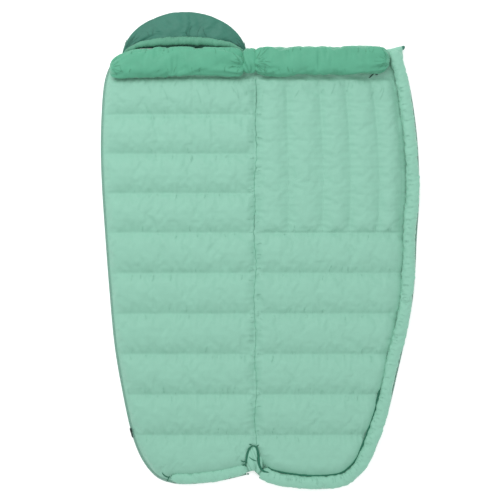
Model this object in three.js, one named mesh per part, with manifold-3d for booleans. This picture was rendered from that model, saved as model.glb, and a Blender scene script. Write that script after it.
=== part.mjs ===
// Camp quilt: a down sleeping bag unzipped all the way round and opened flat, lining side up.
//
// Two panels meet at the centre seam, x = 0. The back panel lies on the left (-x) and carries the
// hood; the front panel lies on the right (+x) and carries the draft tube. +Y points to the head.
// Each panel is a shell on the ground, a lining above it, baffle walls between them and one block
// of down in every chamber. All sizes are in millimetres.
import * as THREE from "three";
import { mergeVertices } from "three/addons/utils/BufferGeometryUtils.js";
import Module from "manifold-3d";

const manifold = await Module();
manifold.setup();

// ---- overall size -------------------------------------------------------------------------
const LENGTH = 2000; // crown of the hood to the foot
const BACK_WIDTH = 645; // centre seam to the zip edge of the back panel
const FRONT_WIDTH = 687; // centre seam to the zip edge of the front panel
const LOFT = 46; // top of a filled chamber above the ground

// ---- fabric and sewing --------------------------------------------------------------------
const FABRIC = 1; // thickness that a layer of cloth is drawn at
const CLEARANCE = 0.3; // between layers that touch
const WALL = 0.8; // baffle wall thickness
const WALL_GAP = 6; // top of a baffle wall to the lining, whose seam puckers over it
const OVERRUN = 0.002; // how far a casing's bore runs past its ends, as a share of its length
const SEAM_TOP = 23; // top of the lining along a stitched seam
const YOKE_TOP = 21; // top of the lining under the collars
const EDGE_TOP = 9.7; // top of the lining where it meets the zip tape
const EDGE_ROUND = 60; // run over which the lining rises from the edge
const CENTRE_ROUND = 36; // run over which a chamber rises from the centre seam
const CHANNEL_ROUND = 55; // run over which an upright channel rises at its ends

// ---- zip ----------------------------------------------------------------------------------
const COIL_WIDTH = 4;
const COIL_HEIGHT = 4;
const COIL_BOTTOM = 6;
const TAPE_WIDTH = 12;
const TAPE = 0.8; // tape thickness
const EDGE_INSET = 10; // zip edge to the sewn edge of the cloth
const DOWN_INSET = 22; // zip edge to the nearest down on the back panel

// ---- draft tube, collars and hood -----------------------------------------------------------
const TUBE_WIDTH = 54;
const TUBE_HEIGHT = 40;
const TUBE_CENTRE = 33; // zip edge to the tube's centre line
const TUBE_SEAM = 66; // zip edge to the baffle wall inside the tube
const TUBE_SEAT = 90; // zip edge to the inner end of the flat strip beside the tube
const HEM_WIDTH = 40;
const HEM_HEIGHT = 28;
const HEM_CENTRE = 27;
const HEM_SEAT = 78;
const COLLAR_WIDTH = 130;
const COLLAR_HEIGHT = 69;
const COLLAR_FRONT = 714; // front edge of both collar rolls
const HOOD_WIDTH = 524;
const HOOD_CENTRE = -297;
const HOOD_HEIGHT = 34;
const HOOD_FILL = 5; // down in each of the hood's two layers
const HALF = LENGTH / 2;
const PANEL_TOP = COLLAR_FRONT + COLLAR_WIDTH + 2;

// Seams across the panels, from the foot to the seam that the collars are sewn to.
const CHEST_SEAM = 72;
const LOWER_PITCH = 168.5;
const UPPER_PITCH = 164;
const LOWER_COUNT = 6;
const UPPER_COUNT = 4;
const lowerSeams = Array.from({ length: LOWER_COUNT }, (_, i) => CHEST_SEAM - LOWER_PITCH * i).reverse();
const upperSeams = Array.from({ length: UPPER_COUNT - 1 }, (_, i) => CHEST_SEAM + UPPER_PITCH * (i + 1));
const COLLAR_SEAM = COLLAR_FRONT - 2;

// Upright chest channels of the front panel, as shares of the panel's width.
const CHANNELS = [0, 0.207, 0.42, 0.588, 0.765, 0.9];

// ---- outlines -----------------------------------------------------------------------------
// Each runs anticlockwise round its panel, as shares of the panel's width and of half the length,
// so that the left of the direction of travel is always inside the panel.
const BACK_EDGE = [
  [0.888, 0.87], [0.93, 0.79], [0.975, 0.7], [0.992, 0.6], [1, 0.45], [0.994, 0.288],
  [0.974, 0.087], [0.945, -0.16], [0.91, -0.4], [0.857, -0.6], [0.8, -0.765], [0.735, -0.872],
  [0.645, -0.945], [0.545, -0.973], [0.43, -0.979], [0.26, -0.969], [0.1, -0.947], [0, -0.929],
];
const FRONT_EDGE = [
  [0, -0.932], [0.06, -0.966], [0.2, -0.99], [0.365, -1], [0.52, -0.99], [0.61, -0.958],
  [0.7, -0.882], [0.793, -0.718], [0.866, -0.516], [0.958, -0.215], [0.985, 0.06], [1, 0.25],
  [0.985, 0.48], [0.94, 0.69], [0.885, 0.82], [0.862, 0.87],
];

/** One panel: the side it lies on, its edge curve and the width of the flat seat along its edge. */
function makePanel(side, width, points, seatAt) {
  const spots = points.map(([across, along]) => new THREE.Vector2(side * across * width, along * HALF));
  const curve = new THREE.SplineCurve(spots);
  return { side, width, curve, seatAt, edge: curve.getPoints(400), insets: new Map() };
}

/** The back panel's seat is the sewn edge at the side and widens for the hem at the foot. */
function backSeat(y) {
  return THREE.MathUtils.lerp(HEM_SEAT, EDGE_INSET, THREE.MathUtils.smoothstep(y, -0.86 * HALF, -0.76 * HALF));
}

const back = makePanel(-1, BACK_WIDTH, BACK_EDGE, backSeat);
const front = makePanel(1, FRONT_WIDTH, FRONT_EDGE, () => TUBE_SEAT);

/** The point of an edge at parameter t (0 to 1), moved into the panel by inset. */
function edgePoint(panel, t, inset) {
  const point = panel.curve.getPoint(t);
  const tangent = panel.curve.getTangent(t);
  return point.add(new THREE.Vector2(-tangent.y, tangent.x).multiplyScalar(inset));
}

/** Least and greatest distance from the centre seam at height y, inside the edge by inset. */
function spanAt(panel, y, inset) {
  if (!panel.insets.has(inset)) {
    panel.insets.set(inset, Array.from({ length: 201 }, (_, i) => edgePoint(panel, i / 200, inset)));
  }
  const line = panel.insets.get(inset);
  const crossings = [];
  for (let i = 1; i < line.length; i += 1) {
    const [a, b] = [line[i - 1], line[i]];
    if ((a.y > y) !== (b.y > y)) {
      crossings.push(Math.abs(THREE.MathUtils.lerp(a.x, b.x, (y - a.y) / (b.y - a.y))));
    }
  }
  return [crossings.length > 1 ? Math.min(...crossings) : 0, Math.max(...crossings)];
}

/** How far a point is inside the flat seat along the panel's edge or its head end. */
function insideSeat(panel, x, y) {
  const spot = new THREE.Vector2(x, y);
  const fromEdge = Math.min(...panel.edge.map((point) => point.distanceTo(spot)));
  return Math.min(PANEL_TOP - y - EDGE_INSET, fromEdge - panel.seatAt(y));
}

// ---- the lining's height --------------------------------------------------------------------
/** A quarter-round rise: 0 at d = 0, 1 from d = run on. */
function rise(d, run) {
  const t = THREE.MathUtils.clamp(d / run, 0, 1);
  return Math.sqrt(1 - (1 - t) ** 2);
}

/** How full a chamber is between two of its seams: 0 at both and 1 half way. */
function puffBetween(seams, at) {
  const above = seams.findIndex((seam) => seam > at + 1e-6);
  if (above < 1) {
    return 0;
  }
  const t = (at - seams[above - 1]) / (seams[above] - seams[above - 1]);
  return 4 * t * (1 - t);
}

const FOOT = -0.99 * HALF;
const backSeams = [FOOT, ...lowerSeams, ...upperSeams, COLLAR_SEAM];
const frontSeams = [FOOT, ...lowerSeams];

/** Height of the lining's upper face. */
function liningTop(panel, x, y) {
  const edge = rise(insideSeat(panel, x, y), EDGE_ROUND);
  if (y > COLLAR_SEAM) {
    return EDGE_TOP + (YOKE_TOP - EDGE_TOP) * edge;
  }
  let puff = rise(Math.abs(x), CENTRE_ROUND);
  if (panel === front && y > CHEST_SEAM) {
    const [inner, outer] = spanAt(panel, y, EDGE_INSET);
    const ends = rise(y - CHEST_SEAM, CHANNEL_ROUND) * rise(COLLAR_SEAM - y, CHANNEL_ROUND);
    puff *= puffBetween(CHANNELS, (Math.abs(x) - inner) / (outer - inner)) * ends;
  } else {
    puff *= puffBetween(panel === front ? frontSeams : backSeams, y);
  }
  return EDGE_TOP + (SEAM_TOP + (LOFT - SEAM_TOP) * puff - EDGE_TOP) * edge;
}

// ---- solids ---------------------------------------------------------------------------------
/** A three.js geometry as a solid for cutting and joining. */
function solid(geometry) {
  const bare = geometry.clone();
  bare.deleteAttribute("normal");
  bare.deleteAttribute("uv");
  const merged = mergeVertices(bare);
  const vertProperties = Float32Array.from(merged.attributes.position.array);
  const kept = [];
  for (let i = 0; i < merged.index.count; i += 3) {
    const corners = [0, 1, 2].map((k) => merged.index.getX(i + k));
    if (new Set(corners).size === 3) {
      kept.push(...corners);
    }
  }
  const triVerts = Uint32Array.from(kept);
  return new manifold.Manifold(new manifold.Mesh({ numProp: 3, vertProperties, triVerts }));
}

/** A cut or joined solid as a three.js geometry again. */
function geometryOf(body) {
  const mesh = body.getMesh();
  const geometry = new THREE.BufferGeometry();
  geometry.setAttribute("position", new THREE.BufferAttribute(mesh.vertProperties, 3));
  geometry.setIndex(new THREE.BufferAttribute(mesh.triVerts, 1));
  geometry.computeVertexNormals();
  return geometry;
}

/** Moves every vertex of a geometry to place(vertex). */
function reshape(geometry, place) {
  const at = geometry.attributes.position;
  const spot = new THREE.Vector3();
  for (let i = 0; i < at.count; i += 1) {
    const moved = place(spot.fromBufferAttribute(at, i));
    at.setXYZ(i, moved.x, moved.y, moved.z);
  }
  geometry.computeVertexNormals();
  return geometry;
}

/** Evenly spaced numbers from a to b, both included. */
function steps(a, b, count) {
  return Array.from({ length: count + 1 }, (_, i) => a + ((b - a) * i) / count);
}

/**
 * A closed slab over part of a panel. columns are shares of the width between the lines low(y) and
 * high(y), rows are y values, and bottom and top give the height of its faces at (x, y). Both faces
 * are divided along the same diagonals, so that a thin slab never passes through itself.
 */
function slab(panel, columns, rows, low, high, bottom, top) {
  const spots = [bottom, top].flatMap((height) => rows.flatMap((y) => columns.flatMap((share) => {
    const x = panel.side * THREE.MathUtils.lerp(low(y), high(y), share);
    return [x, y, height(x, y)];
  })));
  const at = (layer, row, column) => (layer * rows.length + row) * columns.length + column;
  const faces = [];
  const quad = (a, b, c, d) => faces.push(...(panel.side > 0 ? [a, b, c, a, c, d] : [a, c, b, a, d, c]));
  const [lastRow, lastColumn] = [rows.length - 1, columns.length - 1];
  for (let r = 0; r < lastRow; r += 1) {
    for (let c = 0; c < lastColumn; c += 1) {
      quad(at(1, r, c), at(1, r, c + 1), at(1, r + 1, c + 1), at(1, r + 1, c));
      quad(at(0, r + 1, c + 1), at(0, r, c + 1), at(0, r, c), at(0, r + 1, c));
    }
    quad(at(0, r + 1, 0), at(0, r, 0), at(1, r, 0), at(1, r + 1, 0));
    quad(at(0, r, lastColumn), at(0, r + 1, lastColumn), at(1, r + 1, lastColumn), at(1, r, lastColumn));
  }
  for (let c = 0; c < lastColumn; c += 1) {
    quad(at(0, 0, c), at(0, 0, c + 1), at(1, 0, c + 1), at(1, 0, c));
    quad(at(0, lastRow, c + 1), at(0, lastRow, c), at(1, lastRow, c), at(1, lastRow, c + 1));
  }
  const geometry = new THREE.BufferGeometry();
  geometry.setAttribute("position", new THREE.Float32BufferAttribute(spots, 3));
  geometry.setIndex(faces);
  geometry.computeVertexNormals();
  return geometry;
}

/** A flat shape in (inset, height) swept along a panel's edge from parameter t0 to t1. */
function alongEdge(panel, shape, t0, t1, count, over = 0) {
  const bar = new THREE.ExtrudeGeometry(shape, { depth: 1, steps: count, bevelEnabled: false, curveSegments: 4 });
  return reshape(bar, (spot) => {
    const at = edgePoint(panel, THREE.MathUtils.lerp(t0, t1, drawnOut(spot.z, over)), spot.x);
    return new THREE.Vector3(at.x, at.y, spot.y);
  });
}

/** A rectangle in (inset, height). */
function rectangle(inset, bottom, width, height) {
  return new THREE.Shape([
    new THREE.Vector2(inset, bottom),
    new THREE.Vector2(inset + width, bottom),
    new THREE.Vector2(inset + width, bottom + height),
    new THREE.Vector2(inset, bottom + height),
  ]);
}

/** An eight-sided oval, its flats level and upright, shrunk evenly by the margin. */
function oval(centre, middle, width, height, margin) {
  const corner = Math.cos(Math.PI / 8);
  const points = steps(0, 7, 7).map((i) => {
    const angle = ((i + 0.5) * Math.PI) / 4;
    const across = (width / 2 - margin) / corner;
    const up = (height / 2 - margin) / corner;
    return new THREE.Vector2(centre + across * Math.cos(angle), middle + up * Math.sin(angle));
  });
  return points;
}

/** A share of a sweep's length with both ends moved outwards by over. */
function drawnOut(share, over) {
  return share + (share >= 1 ? over : 0) - (share <= 0 ? over : 0);
}

/** A stuffed roll: a casing of cloth open at both ends and the down inside it. */
function roll(name, size, sweep, material) {
  const skin = (margin, over) => solid(sweep(new THREE.Shape(oval(...size, margin)), over));
  add(`${name}_casing`, geometryOf(skin(0, 0).subtract(skin(FABRIC, OVERRUN))), material);
  add(`${name}_down`, geometryOf(skin(FABRIC + CLEARANCE, -OVERRUN)), down);
}

/** A shape in (y, z) run along x from x0 to x1. */
function alongX(shape, x0, x1) {
  const bar = new THREE.ExtrudeGeometry(shape, { depth: 1, bevelEnabled: false, curveSegments: 4 });
  return reshape(bar, (spot) => new THREE.Vector3(THREE.MathUtils.lerp(x0, x1, spot.z), spot.x, spot.y));
}

// ---- materials ------------------------------------------------------------------------------
const cloth = (color, roughness = 0.7) => new THREE.MeshStandardMaterial({ color, roughness, metalness: 0 });
const liningCloth = cloth(0x98cdb5);
const shellCloth = cloth(0x4a8672);
const collarCloth = cloth(0x66b496);
const hoodCloth = cloth(0x488371);
const wallCloth = cloth(0xdfe6e2);
const down = cloth(0xf2f0ea, 0.95);
const tapeCloth = cloth(0x7fa396);
const darkPlastic = cloth(0x1d3a33, 0.5);
const darkCord = cloth(0x10291f, 0.8);
const springSteel = new THREE.MeshStandardMaterial({ color: 0xb8bcbe, roughness: 0.35, metalness: 1 });

const quilt = new THREE.Group();

/** Adds a named sub-part to the quilt. */
function add(name, geometry, material) {
  const mesh = new THREE.Mesh(geometry, material);
  mesh.name = name;
  quilt.add(mesh);
  return mesh;
}

// ---- panels ---------------------------------------------------------------------------------
const SEAM_GAP = 0.2; // centre seam to the cloth of either panel
const SPINE = SEAM_GAP + 0.1; // centre seam to the wall that runs along it
const SPINE_GAP = SPINE + 2 * WALL; // centre seam to the nearest down
const DOWN_GAP = 1; // centre line of a baffle wall to the down beside it
const SHELL_BOTTOM = () => 0;
const SHELL_TOP = () => FABRIC;
const FLOOR = FABRIC + CLEARANCE; // lowest level of everything that lies on the shell
const CEILING = LOFT + 20; // above every chamber, for cutting blocks to height

/** Rows through a list of seams, with inner rows between each pair. */
function rowsThrough(seams, inner) {
  return seams.flatMap((seam, i) => (i ? steps(seams[i - 1], seam, inner).slice(1) : [seam]));
}

const FOOT_ROWS = [-0.966, -0.94, -0.9, -0.866, -0.83].map((share) => share * HALF);
const YOKE_ROWS = [COLLAR_SEAM + 1, PANEL_TOP - 58, PANEL_TOP - 26, PANEL_TOP];
const backRows = [...FOOT_ROWS, ...rowsThrough([...lowerSeams, ...upperSeams, COLLAR_SEAM], 3), ...YOKE_ROWS];
const chestRows = [20, 55, 250, 450, 585, 620].map((up) => CHEST_SEAM + up);
const frontRows = [
  -0.985 * HALF, ...FOOT_ROWS, ...rowsThrough(lowerSeams, 3), ...chestRows, COLLAR_SEAM, ...YOKE_ROWS,
];
const backColumns = [0, 0.02, 0.06, 0.35, 0.7, 0.88, 0.94, 1];
const frontColumns = [...rowsThrough(CHANNELS, 3), 0.95, 1];
const shellColumns = [0, 1];

/** The lining of a panel. */
function lining(panel, columns, rows) {
  const top = (x, y) => liningTop(panel, x, y);
  const bottom = (x, y) => top(x, y) - FABRIC;
  return slab(panel, columns, rows, near(panel), far(panel, EDGE_INSET), bottom, top);
}

/** The space from just under a panel's lining upwards, for trimming what stands below it. */
function aboveLining(panel, columns, rows) {
  const bottom = (x, y) => liningTop(panel, x, y) - FABRIC - CLEARANCE;
  return solid(slab(panel, columns, rows, near(panel), far(panel, EDGE_INSET), bottom, () => CEILING));
}

/** The line along the centre seam that a panel's cloth starts from. */
function near(panel) {
  return (y) => Math.max(SEAM_GAP, spanAt(panel, y, EDGE_INSET)[0]);
}

/** The line inside a panel's edge by inset. */
function far(panel, inset) {
  return (y) => spanAt(panel, y, inset)[1];
}

/** The shell: a flat sheet on the ground with a rim that curls up to the zip tape. */
function shell(panel, rows) {
  const flat = FABRIC + EDGE_INSET * 2;
  const curlTop = COIL_BOTTOM + (COIL_HEIGHT - TAPE) / 2 - CLEARANCE;
  const sheet = slab(panel, shellColumns, rows, near(panel), far(panel, EDGE_INSET * 2), SHELL_BOTTOM, SHELL_TOP);
  const curl = new THREE.Shape([
    new THREE.Vector2(flat, 0),
    new THREE.Vector2(flat, FABRIC),
    new THREE.Vector2(flat - 3, FABRIC),
    new THREE.Vector2(EDGE_INSET + FABRIC, curlTop),
    new THREE.Vector2(EDGE_INSET, curlTop),
    new THREE.Vector2(EDGE_INSET, curlTop - FABRIC),
    new THREE.Vector2(flat - 3, 0),
  ]);
  const rim = alongEdge(panel, curl, 0.02, 0.98, 18);
  return geometryOf(solid(sheet).add(solid(rim)));
}

/** A block of down between two lines and two y values, trimmed to the lining above it. */
function downBlock(panel, trim, low, high, y0, y1, rowCount) {
  const block = slab(panel, [0, 1], steps(y0, y1, rowCount), low, high, () => FLOOR, () => CEILING);
  return geometryOf(solid(block).subtract(trim));
}

/** Height of a baffle wall's top, just under the lining along the seam at y. */
function wallTop(panel, y) {
  return (x) => liningTop(panel, x, y) - FABRIC - WALL_GAP;
}

/** An upright wall across a panel at y, from the line low to the line high. */
function crossWall(panel, y, columns, low, high) {
  const sides = [y - WALL / 2, y + WALL / 2];
  return solid(slab(panel, columns, sides, low, high, () => FLOOR, wallTop(panel, y)));
}

/** The share line of the front panel's width, moved by offset. */
function channelLine(share, offset) {
  return (y) => {
    const [inner, outer] = spanAt(front, y, EDGE_INSET);
    return THREE.MathUtils.lerp(inner, outer, share) + offset;
  };
}

const backTrim = aboveLining(back, backColumns, backRows);
const frontTrim = aboveLining(front, frontColumns, frontRows);
const shellRows = [...steps(-0.955 * HALF, -0.8 * HALF, 4), ...steps(-0.6 * HALF, PANEL_TOP, 7)];

add("left_shell", shell(back, shellRows), shellCloth);
add("left_lining", lining(back, backColumns, backRows), liningCloth);
add("right_shell", shell(front, [-0.972 * HALF, ...shellRows]), shellCloth);
add("right_lining", lining(front, frontColumns, frontRows), liningCloth);

const FOOT_DOWN = -0.9 * HALF; // foot end of the down and of the walls
const WALL_STEP = 0.5; // between the edges of two baffle walls that meet
const SPINE_END = 6; // head end of the panel to the end of the wall along the centre seam

/** The back panel's baffle walls: one along the centre seam and one across each seam. */
function backWalls() {
  const ends = [FOOT_DOWN, PANEL_TOP - SPINE_END];
  const spineFloor = () => FLOOR + WALL_STEP;
  const spine = solid(slab(back, [0, 1], ends, () => SPINE, () => SPINE + WALL, spineFloor, () => CEILING));
  const walls = [...lowerSeams, ...upperSeams, COLLAR_SEAM].map((y) => (
    crossWall(back, y, [0, 0.87, 0.95, 1], () => SPINE + WALL / 2, far(back, DOWN_INSET))
  ));
  return geometryOf(walls.reduce((sum, wall) => sum.add(wall), spine.subtract(backTrim)));
}

/** The front panel's baffle walls: across the lower seams, up the chest, and along the tube seam. */
function frontWalls() {
  const walls = [...lowerSeams, COLLAR_SEAM].map((y) => (
    crossWall(front, y, [0, 0.82, 0.9, 1], () => DOWN_GAP, far(front, TUBE_SEAM + WALL / 2))
  ));
  const channelFloor = () => FLOOR + WALL_STEP;
  const channelTop = () => SEAM_TOP - FABRIC - WALL_GAP - WALL_STEP;
  for (const share of CHANNELS.slice(1, -1)) {
    const rows = steps(CHEST_SEAM, COLLAR_SEAM, 6);
    const [low, high] = [channelLine(share, -WALL / 2), channelLine(share, WALL / 2)];
    walls.push(solid(slab(front, [0, 1], rows, low, high, channelFloor, channelTop)));
  }
  const railFloor = FLOOR + WALL_STEP;
  const rail = rectangle(TUBE_SEAM, railFloor, WALL, EDGE_TOP - FABRIC - CLEARANCE - railFloor);
  walls.push(solid(alongEdge(front, rail, 0.16, 0.955, 26)));
  return geometryOf(walls.reduce((sum, wall) => sum.add(wall)));
}

add("left_baffle_walls", backWalls(), wallCloth);
add("right_baffle_walls", frontWalls(), wallCloth);

const TUBE_DOWN_INSET = TUBE_SEAM + 6;
const backFloor = [FOOT_DOWN, ...lowerSeams, ...upperSeams, COLLAR_SEAM];
for (let i = 1; i < backFloor.length; i += 1) {
  const name = `left_down_${String(i).padStart(2, "0")}`;
  const [y0, y1] = [backFloor[i - 1] + DOWN_GAP, backFloor[i] - DOWN_GAP];
  const inset = i === 1 ? HEM_SEAT : DOWN_INSET;
  add(name, downBlock(back, backTrim, () => SPINE_GAP, far(back, inset), y0, y1, 2), down);
}
const frontFloor = [FOOT_DOWN, ...lowerSeams];
for (let i = 1; i < frontFloor.length; i += 1) {
  const [y0, y1] = [frontFloor[i - 1] + DOWN_GAP, frontFloor[i] - DOWN_GAP];
  const high = far(front, TUBE_DOWN_INSET);
  add(`right_down_lower_${i}`, downBlock(front, frontTrim, () => SPINE_GAP, high, y0, y1, 2), down);
}
for (let i = 1; i < CHANNELS.length; i += 1) {
  const low = channelLine(CHANNELS[i - 1], i === 1 ? SPINE_GAP : DOWN_GAP);
  const high = i === CHANNELS.length - 1 ? far(front, TUBE_DOWN_INSET) : channelLine(CHANNELS[i], -DOWN_GAP);
  const [y0, y1] = [CHEST_SEAM + DOWN_GAP, COLLAR_SEAM - DOWN_GAP];
  add(`right_down_chest_${i}`, downBlock(front, frontTrim, low, high, y0, y1, 6), down);
}

const YOKE_TRIM = 14; // head end of the panel to the down under the collar
const yokeSpan = [COLLAR_SEAM + DOWN_GAP, PANEL_TOP - YOKE_TRIM];
add("left_yoke_down", downBlock(back, backTrim, () => SPINE_GAP, far(back, DOWN_INSET), ...yokeSpan, 1), down);
add("right_yoke_down", downBlock(front, frontTrim, () => SPINE_GAP, far(front, TUBE_DOWN_INSET), ...yokeSpan, 1), down);

// ---- zip, along both edges and round the foot -------------------------------------------------
const tapeBottom = COIL_BOTTOM + (COIL_HEIGHT - TAPE) / 2;
const coilSection = rectangle(0, COIL_BOTTOM, COIL_WIDTH, COIL_HEIGHT);
const tapeSection = rectangle(COIL_WIDTH + CLEARANCE, tapeBottom, TAPE_WIDTH, TAPE);
const STOP_LENGTH = 0.006; // share of the edge that a zip end fitting takes
const ZIP_STEPS = 26;

/** One side of the zip: coil, tape and the fitting at the foot end. */
function zipSide(panel, word, t0, t1, fitting, fittingAt) {
  add(`zip_coil_${word}`, alongEdge(panel, coilSection, t0, t1, ZIP_STEPS), tapeCloth);
  add(`zip_tape_${word}`, alongEdge(panel, tapeSection, t0, t1, ZIP_STEPS), tapeCloth);
  const block = rectangle(-1, COIL_BOTTOM - 1, COIL_WIDTH + 1, COIL_HEIGHT + 2);
  const start = fittingAt - STOP_LENGTH / 2;
  add(fitting, alongEdge(panel, block, start, start + STOP_LENGTH, 1), darkPlastic);
}

zipSide(back, "left", 0.06, 0.965, "zip_box", 0.9684);
zipSide(front, "right", 0.045, 0.935, "zip_pin", 0.0416);

// The slider is parked on the back panel's coil, on a stretch where the edge runs nearly straight.
const SLIDER_AT = 0.583;
const SLIDER_LENGTH = 16;
const SLIDER_GAP = 1.2; // coil to the slider's back, with room for the edge's bow
const SLIDER_WALL = 1.6;
const BAIL_LENGTH = 5;
const BAIL_WIDTH = 2.6;
const BAIL_HEIGHT = 4.4;
const BAIL_INSET = 1;
const BAIL_EYE = 1.1;
const BAIL_EYE_DROP = 0.3; // eye's centre below the middle of the bail
const PULL_WIDTH = 6;
const PULL_LENGTH = 24;
const CHEEK = 1.2;
const CHEEK_LENGTH = 8;
const sliderSpot = edgePoint(back, SLIDER_AT, 0);
const sliderTangent = back.curve.getTangent(SLIDER_AT);
const slider = new THREE.Group();
slider.position.set(sliderSpot.x, sliderSpot.y, COIL_BOTTOM + COIL_HEIGHT / 2);
slider.rotation.z = Math.atan2(sliderTangent.y, sliderTangent.x);
quilt.add(slider);

/** A shape in (inset, height above the coil's middle) run along the slider's travel. */
function alongTravel(shape, from, to) {
  const bar = new THREE.ExtrudeGeometry(shape, { depth: 1, bevelEnabled: false, curveSegments: 6 });
  return reshape(bar, (spot) => new THREE.Vector3(THREE.MathUtils.lerp(from, to, spot.z), spot.x, spot.y));
}

/** The slider: plates over and under the coil joined outside it, with a bail on top for the pull. */
function sliderBody() {
  const inside = COIL_HEIGHT / 2 + CLEARANCE;
  const outside = inside + SLIDER_WALL;
  const reach = COIL_WIDTH + 1.5;
  const jaws = new THREE.Shape([
    new THREE.Vector2(-SLIDER_GAP - SLIDER_WALL, -outside),
    new THREE.Vector2(reach, -outside),
    new THREE.Vector2(reach, -inside),
    new THREE.Vector2(-SLIDER_GAP, -inside),
    new THREE.Vector2(-SLIDER_GAP, inside),
    new THREE.Vector2(reach, inside),
    new THREE.Vector2(reach, outside),
    new THREE.Vector2(-SLIDER_GAP - SLIDER_WALL, outside),
  ]);
  const body = solid(alongTravel(jaws, -SLIDER_LENGTH / 2, SLIDER_LENGTH / 2));
  const bail = new THREE.BoxGeometry(BAIL_LENGTH, BAIL_WIDTH, BAIL_HEIGHT + SLIDER_WALL);
  bail.translate(0, BAIL_INSET, outside + (BAIL_HEIGHT - SLIDER_WALL) / 2);
  const eye = new THREE.CylinderGeometry(BAIL_EYE, BAIL_EYE, BAIL_WIDTH * 2, 12);
  eye.translate(0, BAIL_INSET, outside + BAIL_HEIGHT / 2 - BAIL_EYE_DROP);
  return geometryOf(body.add(solid(bail)).subtract(solid(eye)));
}

/** The pull: two cheeks joined by a pin through the bail's eye, and a flat tab to hold. */
function pullTab() {
  const pin = new THREE.CylinderGeometry(BAIL_EYE - CLEARANCE, BAIL_EYE - CLEARANCE, PULL_WIDTH - 1, 12);
  let body = solid(pin);
  for (const side of [-1, 1]) {
    const cheek = new THREE.BoxGeometry(CHEEK_LENGTH, CHEEK, 2 * BAIL_EYE);
    cheek.translate(CHEEK_LENGTH / 2 - BAIL_EYE, (side * (PULL_WIDTH - CHEEK)) / 2, 0);
    body = body.add(solid(cheek));
  }
  const tab = new THREE.BoxGeometry(PULL_LENGTH, PULL_WIDTH, 2 * BAIL_EYE);
  tab.translate(CHEEK_LENGTH - BAIL_EYE + PULL_LENGTH / 2 - 0.5, 0, 0);
  return geometryOf(body.add(solid(tab)));
}

const sliderMesh = add("zip_slider", sliderBody(), darkPlastic);
slider.add(sliderMesh);
const pullMesh = add("zip_pull", pullTab(), darkPlastic);
pullMesh.position.set(0, BAIL_INSET, COIL_HEIGHT / 2 + CLEARANCE + SLIDER_WALL + BAIL_HEIGHT / 2 - BAIL_EYE_DROP);
slider.add(pullMesh);

// ---- draft tube and foot hem -------------------------------------------------------------------
const tubeMiddle = EDGE_TOP + CLEARANCE + TUBE_HEIGHT / 2;
const hemMiddle = EDGE_TOP + CLEARANCE + HEM_HEIGHT / 2;
const tubeRun = [0.082, 0.94, 22];
const hemRun = [0.776, 0.962, 8];
const tubeSize = [TUBE_CENTRE, tubeMiddle, TUBE_WIDTH, TUBE_HEIGHT];
const hemSize = [HEM_CENTRE, hemMiddle, HEM_WIDTH, HEM_HEIGHT];
roll("draft_tube", tubeSize, (shape, over) => alongEdge(front, shape, ...tubeRun, over), liningCloth);
roll("foot_hem", hemSize, (shape, over) => alongEdge(back, shape, ...hemRun, over), liningCloth);

/** A soft lump: a scaled ball. */
function lump(centre, radii) {
  const ball = new THREE.SphereGeometry(1, 8, 6);
  return reshape(ball, (spot) => spot.clone().multiply(radii).add(centre));
}

const GATHER_HEIGHT = 40;
const GATHER_LENGTH = 60;
const gatherMiddle = EDGE_TOP + CLEARANCE + GATHER_HEIGHT / 2;
for (const [word, side, width] of [["left", -1, 32], ["right", 1, 30]]) {
  const centre = new THREE.Vector3(side * (width / 2 + 1), -0.896 * HALF, gatherMiddle);
  add(`foot_gather_${word}`, lump(centre, new THREE.Vector3(width / 2, GATHER_LENGTH / 2, GATHER_HEIGHT / 2)), liningCloth);
}

// ---- collars -------------------------------------------------------------------------------------
const collarMiddle = YOKE_TOP + CLEARANCE + COLLAR_HEIGHT / 2;
const collarSize = [COLLAR_FRONT + COLLAR_WIDTH / 2, collarMiddle, COLLAR_WIDTH, COLLAR_HEIGHT];
const COLLAR_BACK = COLLAR_FRONT + COLLAR_WIDTH;
const COLLAR_TAPER = 0.72; // width of the right roll at its outer end, as a share of its full width
const TAPER_FROM = 400;
const COLLAR_END = 0.78 * FRONT_WIDTH;

/** How much of its full width a collar roll has at x: less towards the right roll's outer end. */
function collarGirth(x) {
  const share = (x - TAPER_FROM) / (COLLAR_END - TAPER_FROM);
  return THREE.MathUtils.lerp(1, COLLAR_TAPER, THREE.MathUtils.clamp(share, 0, 1));
}

/** A collar roll's section run along x, drawn in towards the roll's back edge by its girth. */
function collarRoll(shape, x0, x1, over) {
  const bar = new THREE.ExtrudeGeometry(shape, { depth: 1, steps: 6, bevelEnabled: false });
  return reshape(bar, (spot) => {
    const x = THREE.MathUtils.lerp(x0, x1, drawnOut(spot.z, over));
    return new THREE.Vector3(x, COLLAR_BACK - (COLLAR_BACK - spot.x) * collarGirth(x), spot.y);
  });
}

const collarRuns = { left: [-0.915 * BACK_WIDTH, -58], right: [3, COLLAR_END] };
for (const [word, run] of Object.entries(collarRuns)) {
  roll(`collar_${word}`, collarSize, (shape, over) => collarRoll(shape, ...run, over), collarCloth);
}
const GATHER_WIDTH = 54;
const gatherCentre = new THREE.Vector3(-1 - GATHER_WIDTH / 2, COLLAR_FRONT + 70, collarMiddle);
const gatherRadii = new THREE.Vector3(GATHER_WIDTH / 2, 52, COLLAR_HEIGHT / 2);
add("collar_gather", lump(gatherCentre, gatherRadii), collarCloth);

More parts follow.
